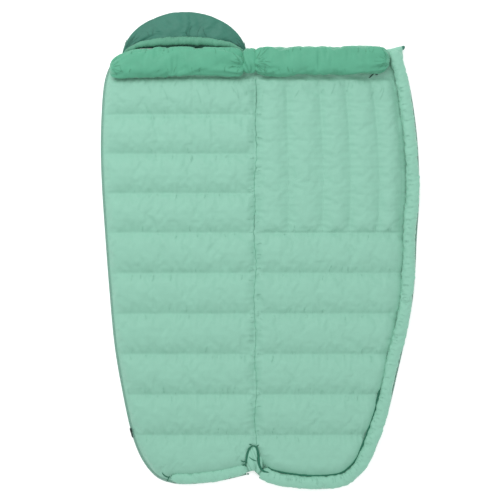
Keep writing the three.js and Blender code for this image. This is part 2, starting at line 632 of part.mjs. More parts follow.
// ---- the collar's drawcord and cord lock ------------------------------------------------------------
// The cord runs under the front of the right roll, turns back at its outer end and passes through
// the lock, and its tail comes out under the roll's front edge.
const CORD = 4;
const LOCK_DIAMETER = 10;
const LOCK_LENGTH = 16;
const LOCK_BORE = 7;
const LOCK_BASE = 1.5; // thickness of the lock's closed end
const PLUNGER_TRAVEL = 2;
const PLUNGER_HEAD = 2;
const SPRING_WIRE = 0.5;
const lockSpot = new THREE.Vector3(506, COLLAR_FRONT + 23, YOKE_TOP + CLEARANCE + LOCK_DIAMETER / 2);
const holeRadius = CORD / 2 + CLEARANCE;

/** A turned piece with its axis along y, its profile given as [radius, y] pairs. */
function turned(profile) {
  return new THREE.LatheGeometry(profile.map(([radius, y]) => new THREE.Vector2(radius, y)), 12);
}

/** The hole that the cord passes through, along x, drawn out along y by stretch. */
function cordHole(stretch) {
  const hole = new THREE.Shape();
  hole.absarc(stretch, 0, holeRadius, -Math.PI / 2, Math.PI / 2);
  hole.absarc(0, 0, holeRadius, Math.PI / 2, (3 * Math.PI) / 2);
  return solid(alongX(hole, -LOCK_DIAMETER, LOCK_DIAMETER));
}

/** The lock's body: a cup that opens towards +y. */
function lockBody() {
  const [end, bore, base] = [LOCK_LENGTH / 2, LOCK_BORE / 2, LOCK_BASE - LOCK_LENGTH / 2];
  const outside = LOCK_DIAMETER / 2;
  return turned([[0, -end], [outside, -end], [outside, end], [bore, end], [bore, base], [0, base]]);
}

const pinEnd = -holeRadius - 0.8;
const headStart = LOCK_LENGTH / 2 + PLUNGER_TRAVEL + 2 * CLEARANCE;

/** The plunger: a pin with a head, its cord hole long enough for its travel. */
function plunger() {
  const radius = LOCK_BORE / 2 - CLEARANCE;
  const head = LOCK_DIAMETER / 2;
  const headEnd = headStart + PLUNGER_HEAD;
  return turned([[0, pinEnd], [radius, pinEnd], [radius, headStart], [head, headStart], [head, headEnd], [0, headEnd]]);
}

/** The spring between the cup's base and the plunger: a wire swept along a helix about y. */
function lockSpring() {
  const turns = 2;
  const radius = LOCK_BORE / 2 - CLEARANCE - SPRING_WIRE;
  const y0 = LOCK_BASE - LOCK_LENGTH / 2 + SPRING_WIRE / 2 + CLEARANCE;
  const y1 = pinEnd - SPRING_WIRE / 2 - CLEARANCE;
  const helix = new THREE.CatmullRomCurve3(steps(0, 1, turns * 8).map((t) => {
    const angle = 2 * Math.PI * turns * t;
    const y = THREE.MathUtils.lerp(y0, y1, t);
    return new THREE.Vector3(radius * Math.cos(angle), y, radius * Math.sin(angle));
  }));
  return sweptRound(helix, SPRING_WIRE, turns * 8, 3);
}

/** A round section of the given diameter swept along a curve. */
function sweptRound(curve, diameter, count, halfSides) {
  const section = new THREE.Shape();
  section.absarc(0, 0, diameter / 2, 0, 2 * Math.PI);
  return new THREE.ExtrudeGeometry(section, { steps: count, extrudePath: curve, curveSegments: halfSides });
}

const lock = new THREE.Group();
lock.position.copy(lockSpot);
quilt.add(lock);
lock.add(
  add("cord_lock_body", geometryOf(solid(lockBody()).subtract(cordHole(0))), darkPlastic),
  add("cord_lock_plunger", geometryOf(solid(plunger()).subtract(cordHole(PLUNGER_TRAVEL))), darkPlastic),
  add("cord_lock_spring", lockSpring(), springSteel),
);

/** A cord's route: points in plan, all at the height of a cord lying on the lining. */
function route(points, height) {
  return new THREE.CatmullRomCurve3(points.map(([x, y]) => new THREE.Vector3(x, y, height)));
}

const cordHeight = lockSpot.z;
const CORD_Y = COLLAR_FRONT + 23;
const drawcord = route(
  [[30, CORD_Y], [250, CORD_Y], [430, CORD_Y], [480, CORD_Y + 16], [524, CORD_Y + 20], [534, CORD_Y + 10],
    [524, CORD_Y], [lockSpot.x, CORD_Y]],
  cordHeight,
);
const tail = route([[lockSpot.x - CLEARANCE, CORD_Y], [498, CORD_Y], [488, CORD_Y - 8], [476, CORD_Y - 20]], cordHeight);
add("collar_drawcord", sweptRound(drawcord, CORD, 26, 3), darkCord);
add("collar_cord_tail", sweptRound(tail, CORD, 5, 4), darkCord);

// ---- hood: two layers folded over at the crown, open towards the collar ---------------------------------
const NECK_GAP = 0.6; // head end of the back panel to the hood
const RIM_WIDTH = 14;
const RIM_HEIGHT = 15;
const RIM_REACH = 225; // half the rim's length
const HOOD_CORD = 3;
const hoodMouth = PANEL_TOP + NECK_GAP + RIM_WIDTH + CLEARANCE;

/** An oval cushion the size of the whole hood, mirrored about its mouth, shrunk by the margin. */
function hoodCushion(margin) {
  const ball = new THREE.SphereGeometry(1, 20, 8);
  const radii = new THREE.Vector3(HOOD_WIDTH / 2, HALF - hoodMouth, HOOD_HEIGHT / 2).subScalar(margin);
  const centre = new THREE.Vector3(HOOD_CENTRE, hoodMouth, HOOD_HEIGHT / 2);
  return solid(reshape(ball, (spot) => spot.clone().multiply(radii).add(centre)));
}

/** One skin of the hood: the space between two cushions, behind the mouth. */
function hoodSkin(outer, inner) {
  const behind = new THREE.BoxGeometry(2 * HOOD_WIDTH, HALF, 4 * HOOD_HEIGHT);
  behind.translate(HOOD_CENTRE, hoodMouth + HALF / 2, 0);
  return hoodCushion(outer).intersect(solid(behind)).subtract(hoodCushion(inner));
}

const downFrom = FABRIC + CLEARANCE;
const hoodLiningFrom = downFrom + HOOD_FILL + CLEARANCE;
const neck = new THREE.BoxGeometry(HOOD_WIDTH - 40, RIM_WIDTH + 6, FABRIC);
neck.translate(HOOD_CENTRE, PANEL_TOP + NECK_GAP + RIM_WIDTH / 2 + 3, FABRIC / 2);
add("hood_shell", geometryOf(hoodSkin(0, FABRIC).add(solid(neck))), hoodCloth);
add("hood_down", geometryOf(hoodSkin(downFrom, downFrom + HOOD_FILL)), down);
add("hood_lining", geometryOf(hoodSkin(hoodLiningFrom, hoodLiningFrom + FABRIC)), collarCloth);

const rimRun = [HOOD_CENTRE - RIM_REACH, HOOD_CENTRE + RIM_REACH];
const rimCentre = hoodMouth - CLEARANCE - RIM_WIDTH / 2;
const rimMiddle = HOOD_HEIGHT - RIM_HEIGHT / 2;
/** The rim's section run from its left to its right end, both drawn out by over. */
function rimSkin(margin, over) {
  const section = new THREE.Shape(oval(rimCentre, rimMiddle, RIM_WIDTH, RIM_HEIGHT, margin));
  return solid(alongX(section, rimRun[0] - over, rimRun[1] + over));
}

add("hood_rim", geometryOf(rimSkin(0, 0).subtract(rimSkin(FABRIC, FABRIC))), collarCloth);
const hoodCordHeight = HOOD_HEIGHT - RIM_HEIGHT + FABRIC + CLEARANCE + HOOD_CORD / 2;
const hoodCord = new THREE.LineCurve3(
  new THREE.Vector3(rimRun[0] - 6, rimCentre, hoodCordHeight),
  new THREE.Vector3(rimRun[1] + 6, rimCentre, hoodCordHeight),
);
add("hood_drawcord", sweptRound(hoodCord, HOOD_CORD, 1, 4), darkCord);

// ---- corner tab at the head end of the draft tube ---------------------------------------------------------
const TAB = new THREE.Vector3(26, 18, 3);
const tab = add("corner_tab", new THREE.BoxGeometry(TAB.x, TAB.y, TAB.z), shellCloth);
tab.position.set(0.862 * FRONT_WIDTH, PANEL_TOP - TAB.y / 2 + 2, EDGE_TOP + CLEARANCE + TAB.z / 2);

// The origin is the middle of the footprint, on the ground.
const extent = new THREE.Box3().setFromObject(quilt);
const middle = extent.getCenter(new THREE.Vector3());
quilt.position.set(-middle.x, -middle.y, -extent.min.z);

export default quilt;
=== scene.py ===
# %% [markdown]
# # Camp quilt
# This is a down sleeping bag, unzipped all the way round and laid open as a quilt with its lining
# up. Two quilted panels meet at a centre seam. The back panel carries the hood and the front panel
# carries a stuffed draft tube beside the zip. Every piece of cloth is a surface worked out with
# numpy, and the padded ones are then blown up by Blender's cloth simulation.
#
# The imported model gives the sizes: everything below is measured from its boxes, in metres, with
# +Y towards the hood and +Z up.

# %% Load the frame
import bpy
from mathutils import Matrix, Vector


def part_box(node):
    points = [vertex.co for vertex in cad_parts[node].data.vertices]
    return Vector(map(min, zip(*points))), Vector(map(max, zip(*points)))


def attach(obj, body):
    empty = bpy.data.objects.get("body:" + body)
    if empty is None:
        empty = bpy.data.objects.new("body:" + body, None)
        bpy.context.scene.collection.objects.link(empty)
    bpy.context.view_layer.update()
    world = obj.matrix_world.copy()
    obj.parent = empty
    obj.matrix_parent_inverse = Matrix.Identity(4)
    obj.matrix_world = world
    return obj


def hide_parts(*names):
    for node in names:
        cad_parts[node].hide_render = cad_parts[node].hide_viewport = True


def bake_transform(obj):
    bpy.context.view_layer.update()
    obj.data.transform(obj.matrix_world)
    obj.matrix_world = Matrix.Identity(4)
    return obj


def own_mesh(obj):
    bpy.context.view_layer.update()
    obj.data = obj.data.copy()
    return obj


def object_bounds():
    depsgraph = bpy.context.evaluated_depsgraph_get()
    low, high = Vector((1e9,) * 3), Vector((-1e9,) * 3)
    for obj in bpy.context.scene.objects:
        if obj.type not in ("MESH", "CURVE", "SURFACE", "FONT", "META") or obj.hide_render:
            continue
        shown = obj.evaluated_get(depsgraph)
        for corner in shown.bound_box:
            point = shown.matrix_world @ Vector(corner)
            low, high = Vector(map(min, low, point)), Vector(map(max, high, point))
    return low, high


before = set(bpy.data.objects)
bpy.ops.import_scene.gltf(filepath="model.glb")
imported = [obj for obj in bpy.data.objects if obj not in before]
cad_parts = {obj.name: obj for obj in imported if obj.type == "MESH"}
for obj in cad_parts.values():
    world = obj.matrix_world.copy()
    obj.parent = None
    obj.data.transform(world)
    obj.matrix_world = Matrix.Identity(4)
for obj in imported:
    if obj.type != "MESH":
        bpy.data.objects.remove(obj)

from types import SimpleNamespace

import bpy
import numpy as np
from mathutils import Vector

cad_bounds = np.array(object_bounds())


def box(node):
    """Lowest and highest corner of a node as a 2 by 3 array."""
    return np.array(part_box(node))


CENTRE = (box("left_lining")[1, 0] + box("right_lining")[0, 0]) / 2
HALF = (cad_bounds[1, 1] - cad_bounds[0, 1]) / 2
PANEL_TOP = box("left_lining")[1, 1] - 0.008
DOWNS = [f"left_down_{i:02d}" for i in range(1, 11)]
BLOCKS = [box(node) for node in DOWNS] + [box("left_yoke_down")]
SEAMS = np.array([(low[1, 1] + high[0, 1]) / 2 for low, high in zip(BLOCKS, BLOCKS[1:])])
CHEST = SEAMS[5]
print("cross seams at", SEAMS.round(3), "centre seam at", round(CENTRE, 4))

# %% [markdown]
# ## Camera, light and floor
# The quilt lies on a pale floor and is seen from straight above. A long lens far away keeps the
# raised rolls from leaning outwards. One big soft lamp shines from the hood end and a little from
# the left, so each chamber is light on its upper side and falls into shade at its lower seam.

# %% Camera, light and floor
scene = bpy.context.scene
scene.view_settings.view_transform = "Standard"
VIEW_HEIGHT = 4.95
LENS = 85
VIEW_WIDTH = 2.093


def aimed(obj, place, target):
    """Stands an object at a place, with its -Z axis towards a target and its Y axis upwards."""
    obj.location = place
    obj.rotation_euler = (Vector(target) - Vector(place)).to_track_quat("-Z", "Y").to_euler()
    scene.collection.objects.link(obj)
    return obj


camera_data = bpy.data.cameras.new("camera")
camera_data.lens = LENS
camera_data.sensor_width = LENS * VIEW_WIDTH / VIEW_HEIGHT
view_middle = (CENTRE - 0.021, 0.0)
camera = aimed(
    bpy.data.objects.new("camera", camera_data),
    (*view_middle, VIEW_HEIGHT),
    (*view_middle, 0),
)
scene.camera = camera


def soft_lamp(name, place, size, power):
    """A square area lamp that shines on the middle of the quilt."""
    data = bpy.data.lights.new(name, "AREA")
    data.size, data.energy = size, power
    return aimed(bpy.data.objects.new(name, data), place, (0, 0, 0))


soft_lamp("key_lamp", (-1.4, 2.6, 3.6), 2.4, 88)
soft_lamp("fill_lamp", (1.9, -1.6, 4.6), 3.0, 30)
world = bpy.data.worlds.new("studio")
scene.world = world
world.use_nodes = True
world.node_tree.nodes["Background"].inputs["Color"].default_value = (1, 1, 1, 1)
world.node_tree.nodes["Background"].inputs["Strength"].default_value = 0.74

# %% [markdown]
# ## Node groups
# All the cloths here are thin woven nylon, so they share two effects. "weave" is the grid of
# threads, far finer than a wrinkle. "handling" is what use does to soft cloth: broad clumps of
# down that show through as lighter and darker patches, and fine creases.

# %% Shader helpers
def new_group(name, inputs, outputs):
    """An empty node group with named sockets. Returns the tree and its two end nodes."""
    tree = bpy.data.node_groups.new(name, "ShaderNodeTree")
    for label, kind, value in inputs:
        socket = tree.interface.new_socket(label, in_out="INPUT", socket_type=kind)
        if value is not None:
            socket.default_value = value
    for label, kind in outputs:
        tree.interface.new_socket(label, in_out="OUTPUT", socket_type=kind)
    return tree, tree.nodes.new("NodeGroupInput"), tree.nodes.new("NodeGroupOutput")


def node(tree, kind, settings=None, **inputs):
    """A node with its settings, whose inputs are values or other nodes' sockets."""
    made = tree.nodes.new(kind)
    for key, value in (settings or {}).items():
        setattr(made, key, value)
    for key, value in inputs.items():
        socket = made.inputs[int(key[1:])] if key[0] == "_" else made.inputs[key]
        if isinstance(value, bpy.types.NodeSocket):
            tree.links.new(value, socket)
        else:
            socket.default_value = value
    return made


def maths(tree, operation, a, b=0.0):
    """The result socket of a Math node."""
    return node(tree, "ShaderNodeMath", {"operation": operation}, _0=a, _1=b).outputs[0]


# %% Weave group
weave, w_in, w_out = new_group(
    "weave",
    [("Vector", "NodeSocketVector", None), ("Threads per metre", "NodeSocketFloat", 900.0)],
    [("Height", "NodeSocketFloat")],
)
scaled = node(
    weave, "ShaderNodeVectorMath", {"operation": "SCALE"},
    _0=w_in.outputs["Vector"], Scale=w_in.outputs["Threads per metre"],
).outputs[0]
split = node(weave, "ShaderNodeSeparateXYZ", _0=scaled)
warp = maths(weave, "SINE", maths(weave, "MULTIPLY", split.outputs["X"], 6.283))
weft = maths(weave, "SINE", maths(weave, "MULTIPLY", split.outputs["Y"], 6.283))
threads = maths(weave, "MULTIPLY", warp, weft)
weave.links.new(maths(weave, "ADD", threads, 0.5), w_out.inputs["Height"])

# %% Handling group
handling, h_in, h_out = new_group(
    "handling",
    [
        ("Vector", "NodeSocketVector", None), ("Light", "NodeSocketColor", (1, 1, 1, 1)),
        ("Dark", "NodeSocketColor", (0.8, 0.8, 0.8, 1)), ("Roughness", "NodeSocketFloat", 0.55),
    ],
    [("Color", "NodeSocketColor"), ("Roughness", "NodeSocketFloat"), ("Height", "NodeSocketFloat")],
)
clumps = node(
    handling, "ShaderNodeTexNoise",
    Vector=h_in.outputs["Vector"], Scale=19.0, Detail=4.0, Roughness=0.6, Distortion=0.4,
).outputs["Fac"]
creases = node(
    handling, "ShaderNodeTexNoise",
    Vector=h_in.outputs["Vector"], Scale=85.0, Detail=5.0, Roughness=0.62, Distortion=1.6,
).outputs["Fac"]
spread = node(handling, "ShaderNodeMapRange", _0=clumps, _1=0.35, _2=0.65, _3=0.0, _4=1.0).outputs[0]
mixed = node(
    handling, "ShaderNodeMix", {"data_type": "RGBA"},
    _0=spread, _6=h_in.outputs["Light"], _7=h_in.outputs["Dark"],
)
handling.links.new(mixed.outputs[2], h_out.inputs["Color"])
shift = maths(handling, "MULTIPLY", maths(handling, "SUBTRACT", creases, 0.5), 0.25)
handling.links.new(maths(handling, "ADD", h_in.outputs["Roughness"], shift), h_out.inputs["Roughness"])
handling.links.new(creases, h_out.inputs["Height"])
print("node groups:", [group.name for group in bpy.data.node_groups])

# %% [markdown]
# ## Materials
# Each finish is its own short recipe of the shared groups. The lining is pale mint nylon, the
# collars a stronger green, the hood and the shell a dark sea green. Nylon has a soft glow at
# grazing angles, which the sheen gives.

# %% Material helpers
def linear(red, green, blue):
    """A screen colour, given from 0 to 255, as linear light."""
    c = np.array([red, green, blue]) / 255
    return (*np.where(c <= 0.04045, c / 12.92, ((c + 0.055) / 1.055) ** 2.4), 1.0)


def bare_material(name):
    """A material with only its shader, and the Object coordinates to feed it."""
    material = bpy.data.materials.new(name)
    material.use_nodes = True
    tree = material.node_tree
    place = tree.nodes.new("ShaderNodeTexCoord").outputs["Object"]
    return material, tree, tree.nodes["Principled BSDF"], place


def grouped(tree, group, **inputs):
    """A node group placed in a material."""
    made = node(tree, "ShaderNodeGroup", {"node_tree": group})
    for key, value in inputs.items():
        socket = made.inputs[key.replace("_", " ")]
        if isinstance(value, bpy.types.NodeSocket):
            tree.links.new(value, socket)
        else:
            socket.default_value = value
    return made


def nylon(name, light, shade=0.93, roughness=0.55, sheen=0.25, crease=0.0012, threads=900.0):
    """Woven nylon: clumps tint it, and its creases and threads bump it."""
    material, tree, shader, place = bare_material(name)
    light = linear(*light)
    dark = (*(np.array(light[:3]) * shade), 1.0)
    used = grouped(tree, handling, Vector=place, Light=light, Dark=dark, Roughness=roughness)
    grid = grouped(tree, weave, Vector=place, Threads_per_metre=threads)
    folds = node(tree, "ShaderNodeBump", Height=used.outputs["Height"], Distance=crease, Strength=0.6)
    fine = node(
        tree, "ShaderNodeBump",
        Height=grid.outputs["Height"], Distance=0.0001, Strength=0.25, Normal=folds.outputs[0],
    )
    tree.links.new(used.outputs["Color"], shader.inputs["Base Color"])
    tree.links.new(used.outputs["Roughness"], shader.inputs["Roughness"])
    tree.links.new(fine.outputs[0], shader.inputs["Normal"])
    shader.inputs["Sheen Weight"].default_value = sheen
    shader.inputs["Sheen Roughness"].default_value = 0.4
    shader.inputs["Specular IOR Level"].default_value = 0.3
    return material


def moulded(name, colour, roughness=0.4, grain=0.0002):
    """Moulded plastic: one colour, a fine grain and duller patches where fingers rub it."""
    material, tree, shader, place = bare_material(name)
    used = grouped(
        tree, handling, Vector=place, Light=linear(*colour), Dark=linear(*colour), Roughness=roughness,
    )
    speckle = node(tree, "ShaderNodeTexNoise", Vector=place, Scale=2600.0, Detail=2.0)
    bump = node(tree, "ShaderNodeBump", Height=speckle.outputs["Fac"], Distance=grain, Strength=0.4)
    tree.links.new(used.outputs["Color"], shader.inputs["Base Color"])
    tree.links.new(used.outputs["Roughness"], shader.inputs["Roughness"])
    tree.links.new(bump.outputs[0], shader.inputs["Normal"])
    return material


# %% Finishes
lining_cloth = nylon("lining_cloth", (138, 192, 171), shade=0.965, crease=0.0016)
tube_cloth = nylon("tube_cloth", (139, 195, 173), shade=0.965, crease=0.0014)
collar_cloth = nylon("collar_cloth", (88, 166, 135), shade=0.93)
rim_cloth = nylon("rim_cloth", (90, 156, 129), shade=0.88, crease=0.0016)
hood_cloth = nylon("hood_cloth", (59, 121, 104), shade=0.9)
shell_cloth = nylon("shell_cloth", (66, 128, 109), shade=0.92, crease=0.001)
# Painted shade: dark cloth for the strips laid in deep creases.
shadow_cloth = nylon("shadow_cloth", (44, 112, 88), shade=0.85, roughness=0.8, sheen=0.05)
# Painted shadow: near-black cloth for the strip that stands for the hollow of the hood's mouth.
mouth_shadow_cloth = nylon("mouth_shadow_cloth", (24, 72, 58), shade=0.85, roughness=0.8, sheen=0.05)
down_fluff = nylon("down_fluff", (240, 238, 230), shade=0.9, roughness=0.95, crease=0.003, threads=60.0)
baffle_mesh = nylon("baffle_mesh", (222, 230, 226), roughness=0.8, sheen=0.0, threads=700.0)
thread_cotton = nylon("thread", (128, 186, 164), roughness=0.7, threads=2500.0)
tape_weave = nylon("tape_weave", (128, 176, 158), roughness=0.75, sheen=0.1, threads=1600.0)
fitting_plastic = moulded("fitting_plastic", (96, 144, 127))
coil_nylon = moulded("coil_nylon", (122, 168, 152), roughness=0.45)
dark_plastic = moulded("dark_plastic", (30, 62, 54))
cord_braid = nylon("cord_braid", (18, 44, 36), roughness=0.75, sheen=0.15, threads=1400.0)
spring_steel = moulded("spring_steel", (186, 190, 192), roughness=0.3)
spring_steel.node_tree.nodes["Principled BSDF"].inputs["Metallic"].default_value = 1.0
print(len(bpy.data.materials), "materials")

# %% Floor
floor_mesh = bpy.data.meshes.new("floor")
REACH = 7.0
FLOOR_GLOW = 0.35
floor_mesh.from_pydata(
    [(-REACH, -REACH, -0.0006), (REACH, -REACH, -0.0006), (REACH, REACH, -0.0006), (-REACH, REACH, -0.0006)],
    [], [(0, 1, 2, 3)],
)
floor = bpy.data.objects.new("floor", floor_mesh)
scene.collection.objects.link(floor)
floor_paint, floor_tree, floor_shader, _ = bare_material("floor_paint")
floor_shader.inputs["Base Color"].default_value = (0.93, 0.93, 0.93, 1)
floor_shader.inputs["Roughness"].default_value = 0.9
floor_shader.inputs["Emission Color"].default_value = (1, 1, 1, 1)
floor_shader.inputs["Emission Strength"].default_value = FLOOR_GLOW
floor_mesh.materials.append(floor_paint)

# %% [markdown]
# ## Surfaces from grids
# A piece of cloth is a grid of points: rows by columns by x, y, z. One helper turns any such grid
# into a mesh. A tube joins its last column to its first, and a closed roll also has each end row
# gathered to one point. Random-looking ripples are sums of a few sine waves with fixed seeds, so
# every run gives the same folds.

# %% Mesh helpers
def grid_faces(rows, columns, wrap=False):
    """Four-cornered faces of a grid of points numbered row by row."""
    r, c = np.meshgrid(np.arange(rows - 1), np.arange(columns if wrap else columns - 1), indexing="ij")
    after = (c + 1) % columns
    quads = [r * columns + c, r * columns + after, (r + 1) * columns + after, (r + 1) * columns + c]
    return np.stack(quads, axis=-1).reshape(-1, 4)


def put(name, points, faces, material, slot):
    """A smooth mesh object from an array of points and one of faces."""
    mesh = bpy.data.meshes.new(name)
    mesh.from_pydata(points.reshape(-1, 3).tolist(), [], [list(map(int, face)) for face in faces])
    mesh.polygons.foreach_set("use_smooth", np.ones(len(mesh.polygons), bool))
    mesh.materials.append(material)
    obj = bpy.data.objects.new(name, mesh)
    scene.collection.objects.link(obj)
    return obj


def sheet_piece(name, grid, material, slot, flip=False):
    """An open sheet, facing the side from which its rows and columns turn anticlockwise."""
    faces = grid_faces(*grid.shape[:2])
    return put(name, grid, faces[:, ::-1] if flip else faces, material, slot)


def roll_mesh(grid, flip=False):
    """Points and faces of a closed roll: rings of points with each end gathered to its middle."""
    rows, columns = grid.shape[:2]
    faces = [list(face) for face in grid_faces(rows, columns, wrap=True)]
    first, last = rows * columns, rows * columns + 1
    ring, after = np.arange(columns), (np.arange(columns) + 1) % columns
    end = (rows - 1) * columns
    faces += [[first, b, a] for a, b in zip(ring, after)]
    faces += [[last, end + a, end + b] for a, b in zip(ring, after)]
    points = np.vstack([grid.reshape(-1, 3), grid[0].mean(axis=0), grid[-1].mean(axis=0)])
    return points, [face[::-1] for face in faces] if flip else faces


def roll_piece(name, grid, material, slot, flip=False):
    """A closed roll as a piece."""
    return put(name, *roll_mesh(grid, flip), material, slot)


def rolls_piece(name, grids, material, slot, flips):
    """Many closed rolls as one piece."""
    points, faces, start = [], [], 0
    for grid, flip in zip(grids, flips):
        some_points, some_faces = roll_mesh(grid, flip)
        points.append(some_points)
        faces += [[start + corner for corner in face] for face in some_faces]
        start += len(some_points)
    return put(name, np.vstack(points), faces, material, slot)


def ripples(x, y, length, seed, waves=14, squeeze=1.0):
    """A sum of sine waves about one length long, in directions and phases drawn from a seed.
    squeeze under 1 turns the waves towards the y direction. Values lie mostly within -1 and 1."""
    draw = np.random.default_rng(seed)
    angle = draw.uniform(0, 2 * np.pi, waves)
    pitch = 2 * np.pi / (length * draw.uniform(0.7, 1.5, waves))
    phase = draw.uniform(0, 2 * np.pi, waves)
    across, along = pitch * np.cos(angle) * squeeze, pitch * np.sin(angle)
    total = sum(np.sin(across[k] * x + along[k] * y + phase[k]) for k in range(waves))
    return total / np.sqrt(waves)


# %% Cloth simulation
def blown(obj, held, pressure=2.0, shrink=-0.05, frames=14, cap=0.006, bending=0.3):
    """Blows a piece up with Blender's cloth: the held points stay, the rest swells and puckers.
    A negative shrink makes the cloth too large for its seams. No point moves more than the cap."""
    mesh = obj.data
    rest = np.empty(len(mesh.vertices) * 3)
    mesh.vertices.foreach_get("co", rest)
    group = obj.vertex_groups.new(name="held")
    group.add(np.flatnonzero(held).tolist(), 1.0, "REPLACE")
    modifier = obj.modifiers.new("cloth", "CLOTH")
    settings = modifier.settings
    settings.quality = 4
    settings.mass = 0.2
    settings.tension_stiffness = settings.compression_stiffness = 18
    settings.shear_stiffness = 6
    settings.bending_stiffness = bending
    settings.vertex_group_mass = "held"
    settings.use_pressure = True
    settings.uniform_pressure_force = pressure
    settings.shrink_min = settings.shrink_max = shrink
    settings.effector_weights.gravity = 0
    modifier.collision_settings.use_collision = False
    modifier.point_cache.frame_end = frames
    for step in range(1, frames + 1):
        scene.frame_set(step)
    solved = obj.evaluated_get(bpy.context.evaluated_depsgraph_get()).data
    points = np.empty(len(solved.vertices) * 3)
    solved.vertices.foreach_get("co", points)
    moved = (points - rest).reshape(-1, 3)
    far = np.linalg.norm(moved, axis=1, keepdims=True)
    moved *= np.minimum(1.0, cap / np.maximum(far, 1e-9))
    obj.modifiers.remove(modifier)
    obj.vertex_groups.remove(group)
    mesh.vertices.foreach_set("co", rest + moved.ravel())
    mesh.update()
    scene.frame_set(1)
    print(f"{obj.name}: {len(mesh.vertices)} points, moved {1000 * np.linalg.norm(moved, axis=1).mean():.1f} mm")
    return obj


def smoothed(obj, levels=1):
    """One level of subdivision, the same in the viewport and the render."""
    modifier = obj.modifiers.new("smooth", "SUBSURF")
    modifier.levels = modifier.render_levels = levels
    return obj


def points_of(obj):
    """The object's points as an array."""
    points = np.empty(len(obj.data.vertices) * 3)
    obj.data.vertices.foreach_get("co", points)
    return points.reshape(-1, 3)


# %% [markdown]
# ## The panels' outlines
# Each panel's edge is a curve through a few chosen points, given as shares of the panel's width and
# of half the length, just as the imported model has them. Everything that follows the edge, such as
# the zip and the draft tube, is this line moved inwards.

# %% Outlines
BACK_EDGE = np.array([
    [0.72, 0.87], [0.81, 0.843], [0.876, 0.812], [0.925, 0.783], [0.957, 0.745], [0.979, 0.69],
    [0.992, 0.6],
    [1, 0.45], [0.994, 0.288],
    [0.974, 0.087], [0.945, -0.16], [0.91, -0.4], [0.857, -0.6], [0.8, -0.765], [0.735, -0.872],
    [0.645, -0.945], [0.545, -0.973], [0.43, -0.979], [0.26, -0.969], [0.1, -0.947], [0, -0.929],
])
FRONT_EDGE = np.array([
    [0, -0.932], [0.06, -0.966], [0.2, -0.99], [0.365, -1], [0.52, -0.99], [0.61, -0.958],
    [0.7, -0.882], [0.793, -0.718], [0.866, -0.516], [0.958, -0.215], [0.985, 0.06], [1, 0.25],
    [0.985, 0.48], [0.94, 0.69], [0.885, 0.82], [0.862, 0.87],
])
CHANNELS = np.array([0, 0.207, 0.42, 0.588, 0.765, 0.9])
EDGE_INSET = 0.010
TUBE_SEAT = 0.039
HEM_SEAT = 0.036


def spline(points, per_span=24):
    """Curve through the points: each span blends its four nearest points a, b, c, d as
    (2b + (c - a)t + (2a - 5b + 4c - d)t^2 + (3b - a - 3c + d)t^3) / 2."""
    p = np.vstack([points[:1], points, points[-1:]])
    t = np.linspace(0, 1, per_span, endpoint=False)[None, :, None]
    a, b, c, d = (p[i:len(p) - 3 + i, None] for i in range(4))
    cubic = 2 * b + (c - a) * t + (2 * a - 5 * b + 4 * c - d) * t**2 + (3 * b - a - 3 * c + d) * t**3
    return np.vstack([cubic.reshape(-1, points.shape[1]) / 2, points[-1:]])


def lengths_along(line):
    """Distance along a line at each of its points."""
    return np.concatenate([[0], np.cumsum(np.linalg.norm(np.diff(line, axis=0), axis=1))])


def at_shares(line, shares):
    """Points of a line at given shares of its length."""
    along = lengths_along(line)
    return np.stack([np.interp(shares * along[-1], along, column) for column in line.T], axis=1)


def evenly(line, step):
    """A line's points at an even step."""
    return at_shares(line, np.linspace(0, 1, max(2, round(lengths_along(line)[-1] / step) + 1)))


def moved_in(line, side, inset):
    """The line moved into its panel, along the tangent turned a quarter towards the panel."""
    tangent = np.gradient(line, axis=0)
    tangent /= np.linalg.norm(tangent, axis=1, keepdims=True)
    inwards = side * np.stack([-tangent[:, 1], tangent[:, 0]], axis=1)
    return line + inwards * np.asarray(inset).reshape(-1, 1)


def make_panel(name, side, width, shares):
    """A panel's name, side, width and its edge from the middle of the foot to the head."""
    line = spline(shares * [side * width, HALF]) + [CENTRE, 0]
    return SimpleNamespace(name=name, side=side, width=width, edge=line if side > 0 else line[::-1])


back = make_panel("left", -1, CENTRE - box("zip_coil_left")[0, 0], BACK_EDGE)
front = make_panel("right", 1, box("zip_coil_right")[1, 0] - CENTRE, FRONT_EDGE)
print("panel widths", round(back.width, 3), round(front.width, 3))

# %% [markdown]
# ## Laying out a panel's cloth
# The cloth's rows run across the panel, so each sewn seam is exactly one row, and the front
# panel's upright channels are exactly some of its columns. Below the last cross seam the edge
# turns round the foot, so that chamber is a four-sided patch blended between its four borders.

# %% Panel grids
COLUMNS = 84
CHAMBER_ROWS = 22
YOKE_ROWS = 18
FOOT_ROWS = 30
FOOT_CORNER = -0.90


def column_shares(panel):
    """Shares of the width, evenly spread between the seams that have to fall on a column."""
    stops = CHANNELS if panel is front else np.array([0, 1.0])
    stops = np.append(stops, 1.0) if stops[-1] < 1 else stops
    at = np.round(stops * COLUMNS)
    return np.interp(np.arange(COLUMNS + 1), at, stops), at.astype(int)


def seam_wander(y):
    """How far the centre seam strays sideways at height y: a slow wave and short puckers."""
    return 0.0042 * ripples(0 * y, y, 0.17, 5) + 0.0018 * ripples(0 * y, y, 0.035, 6)


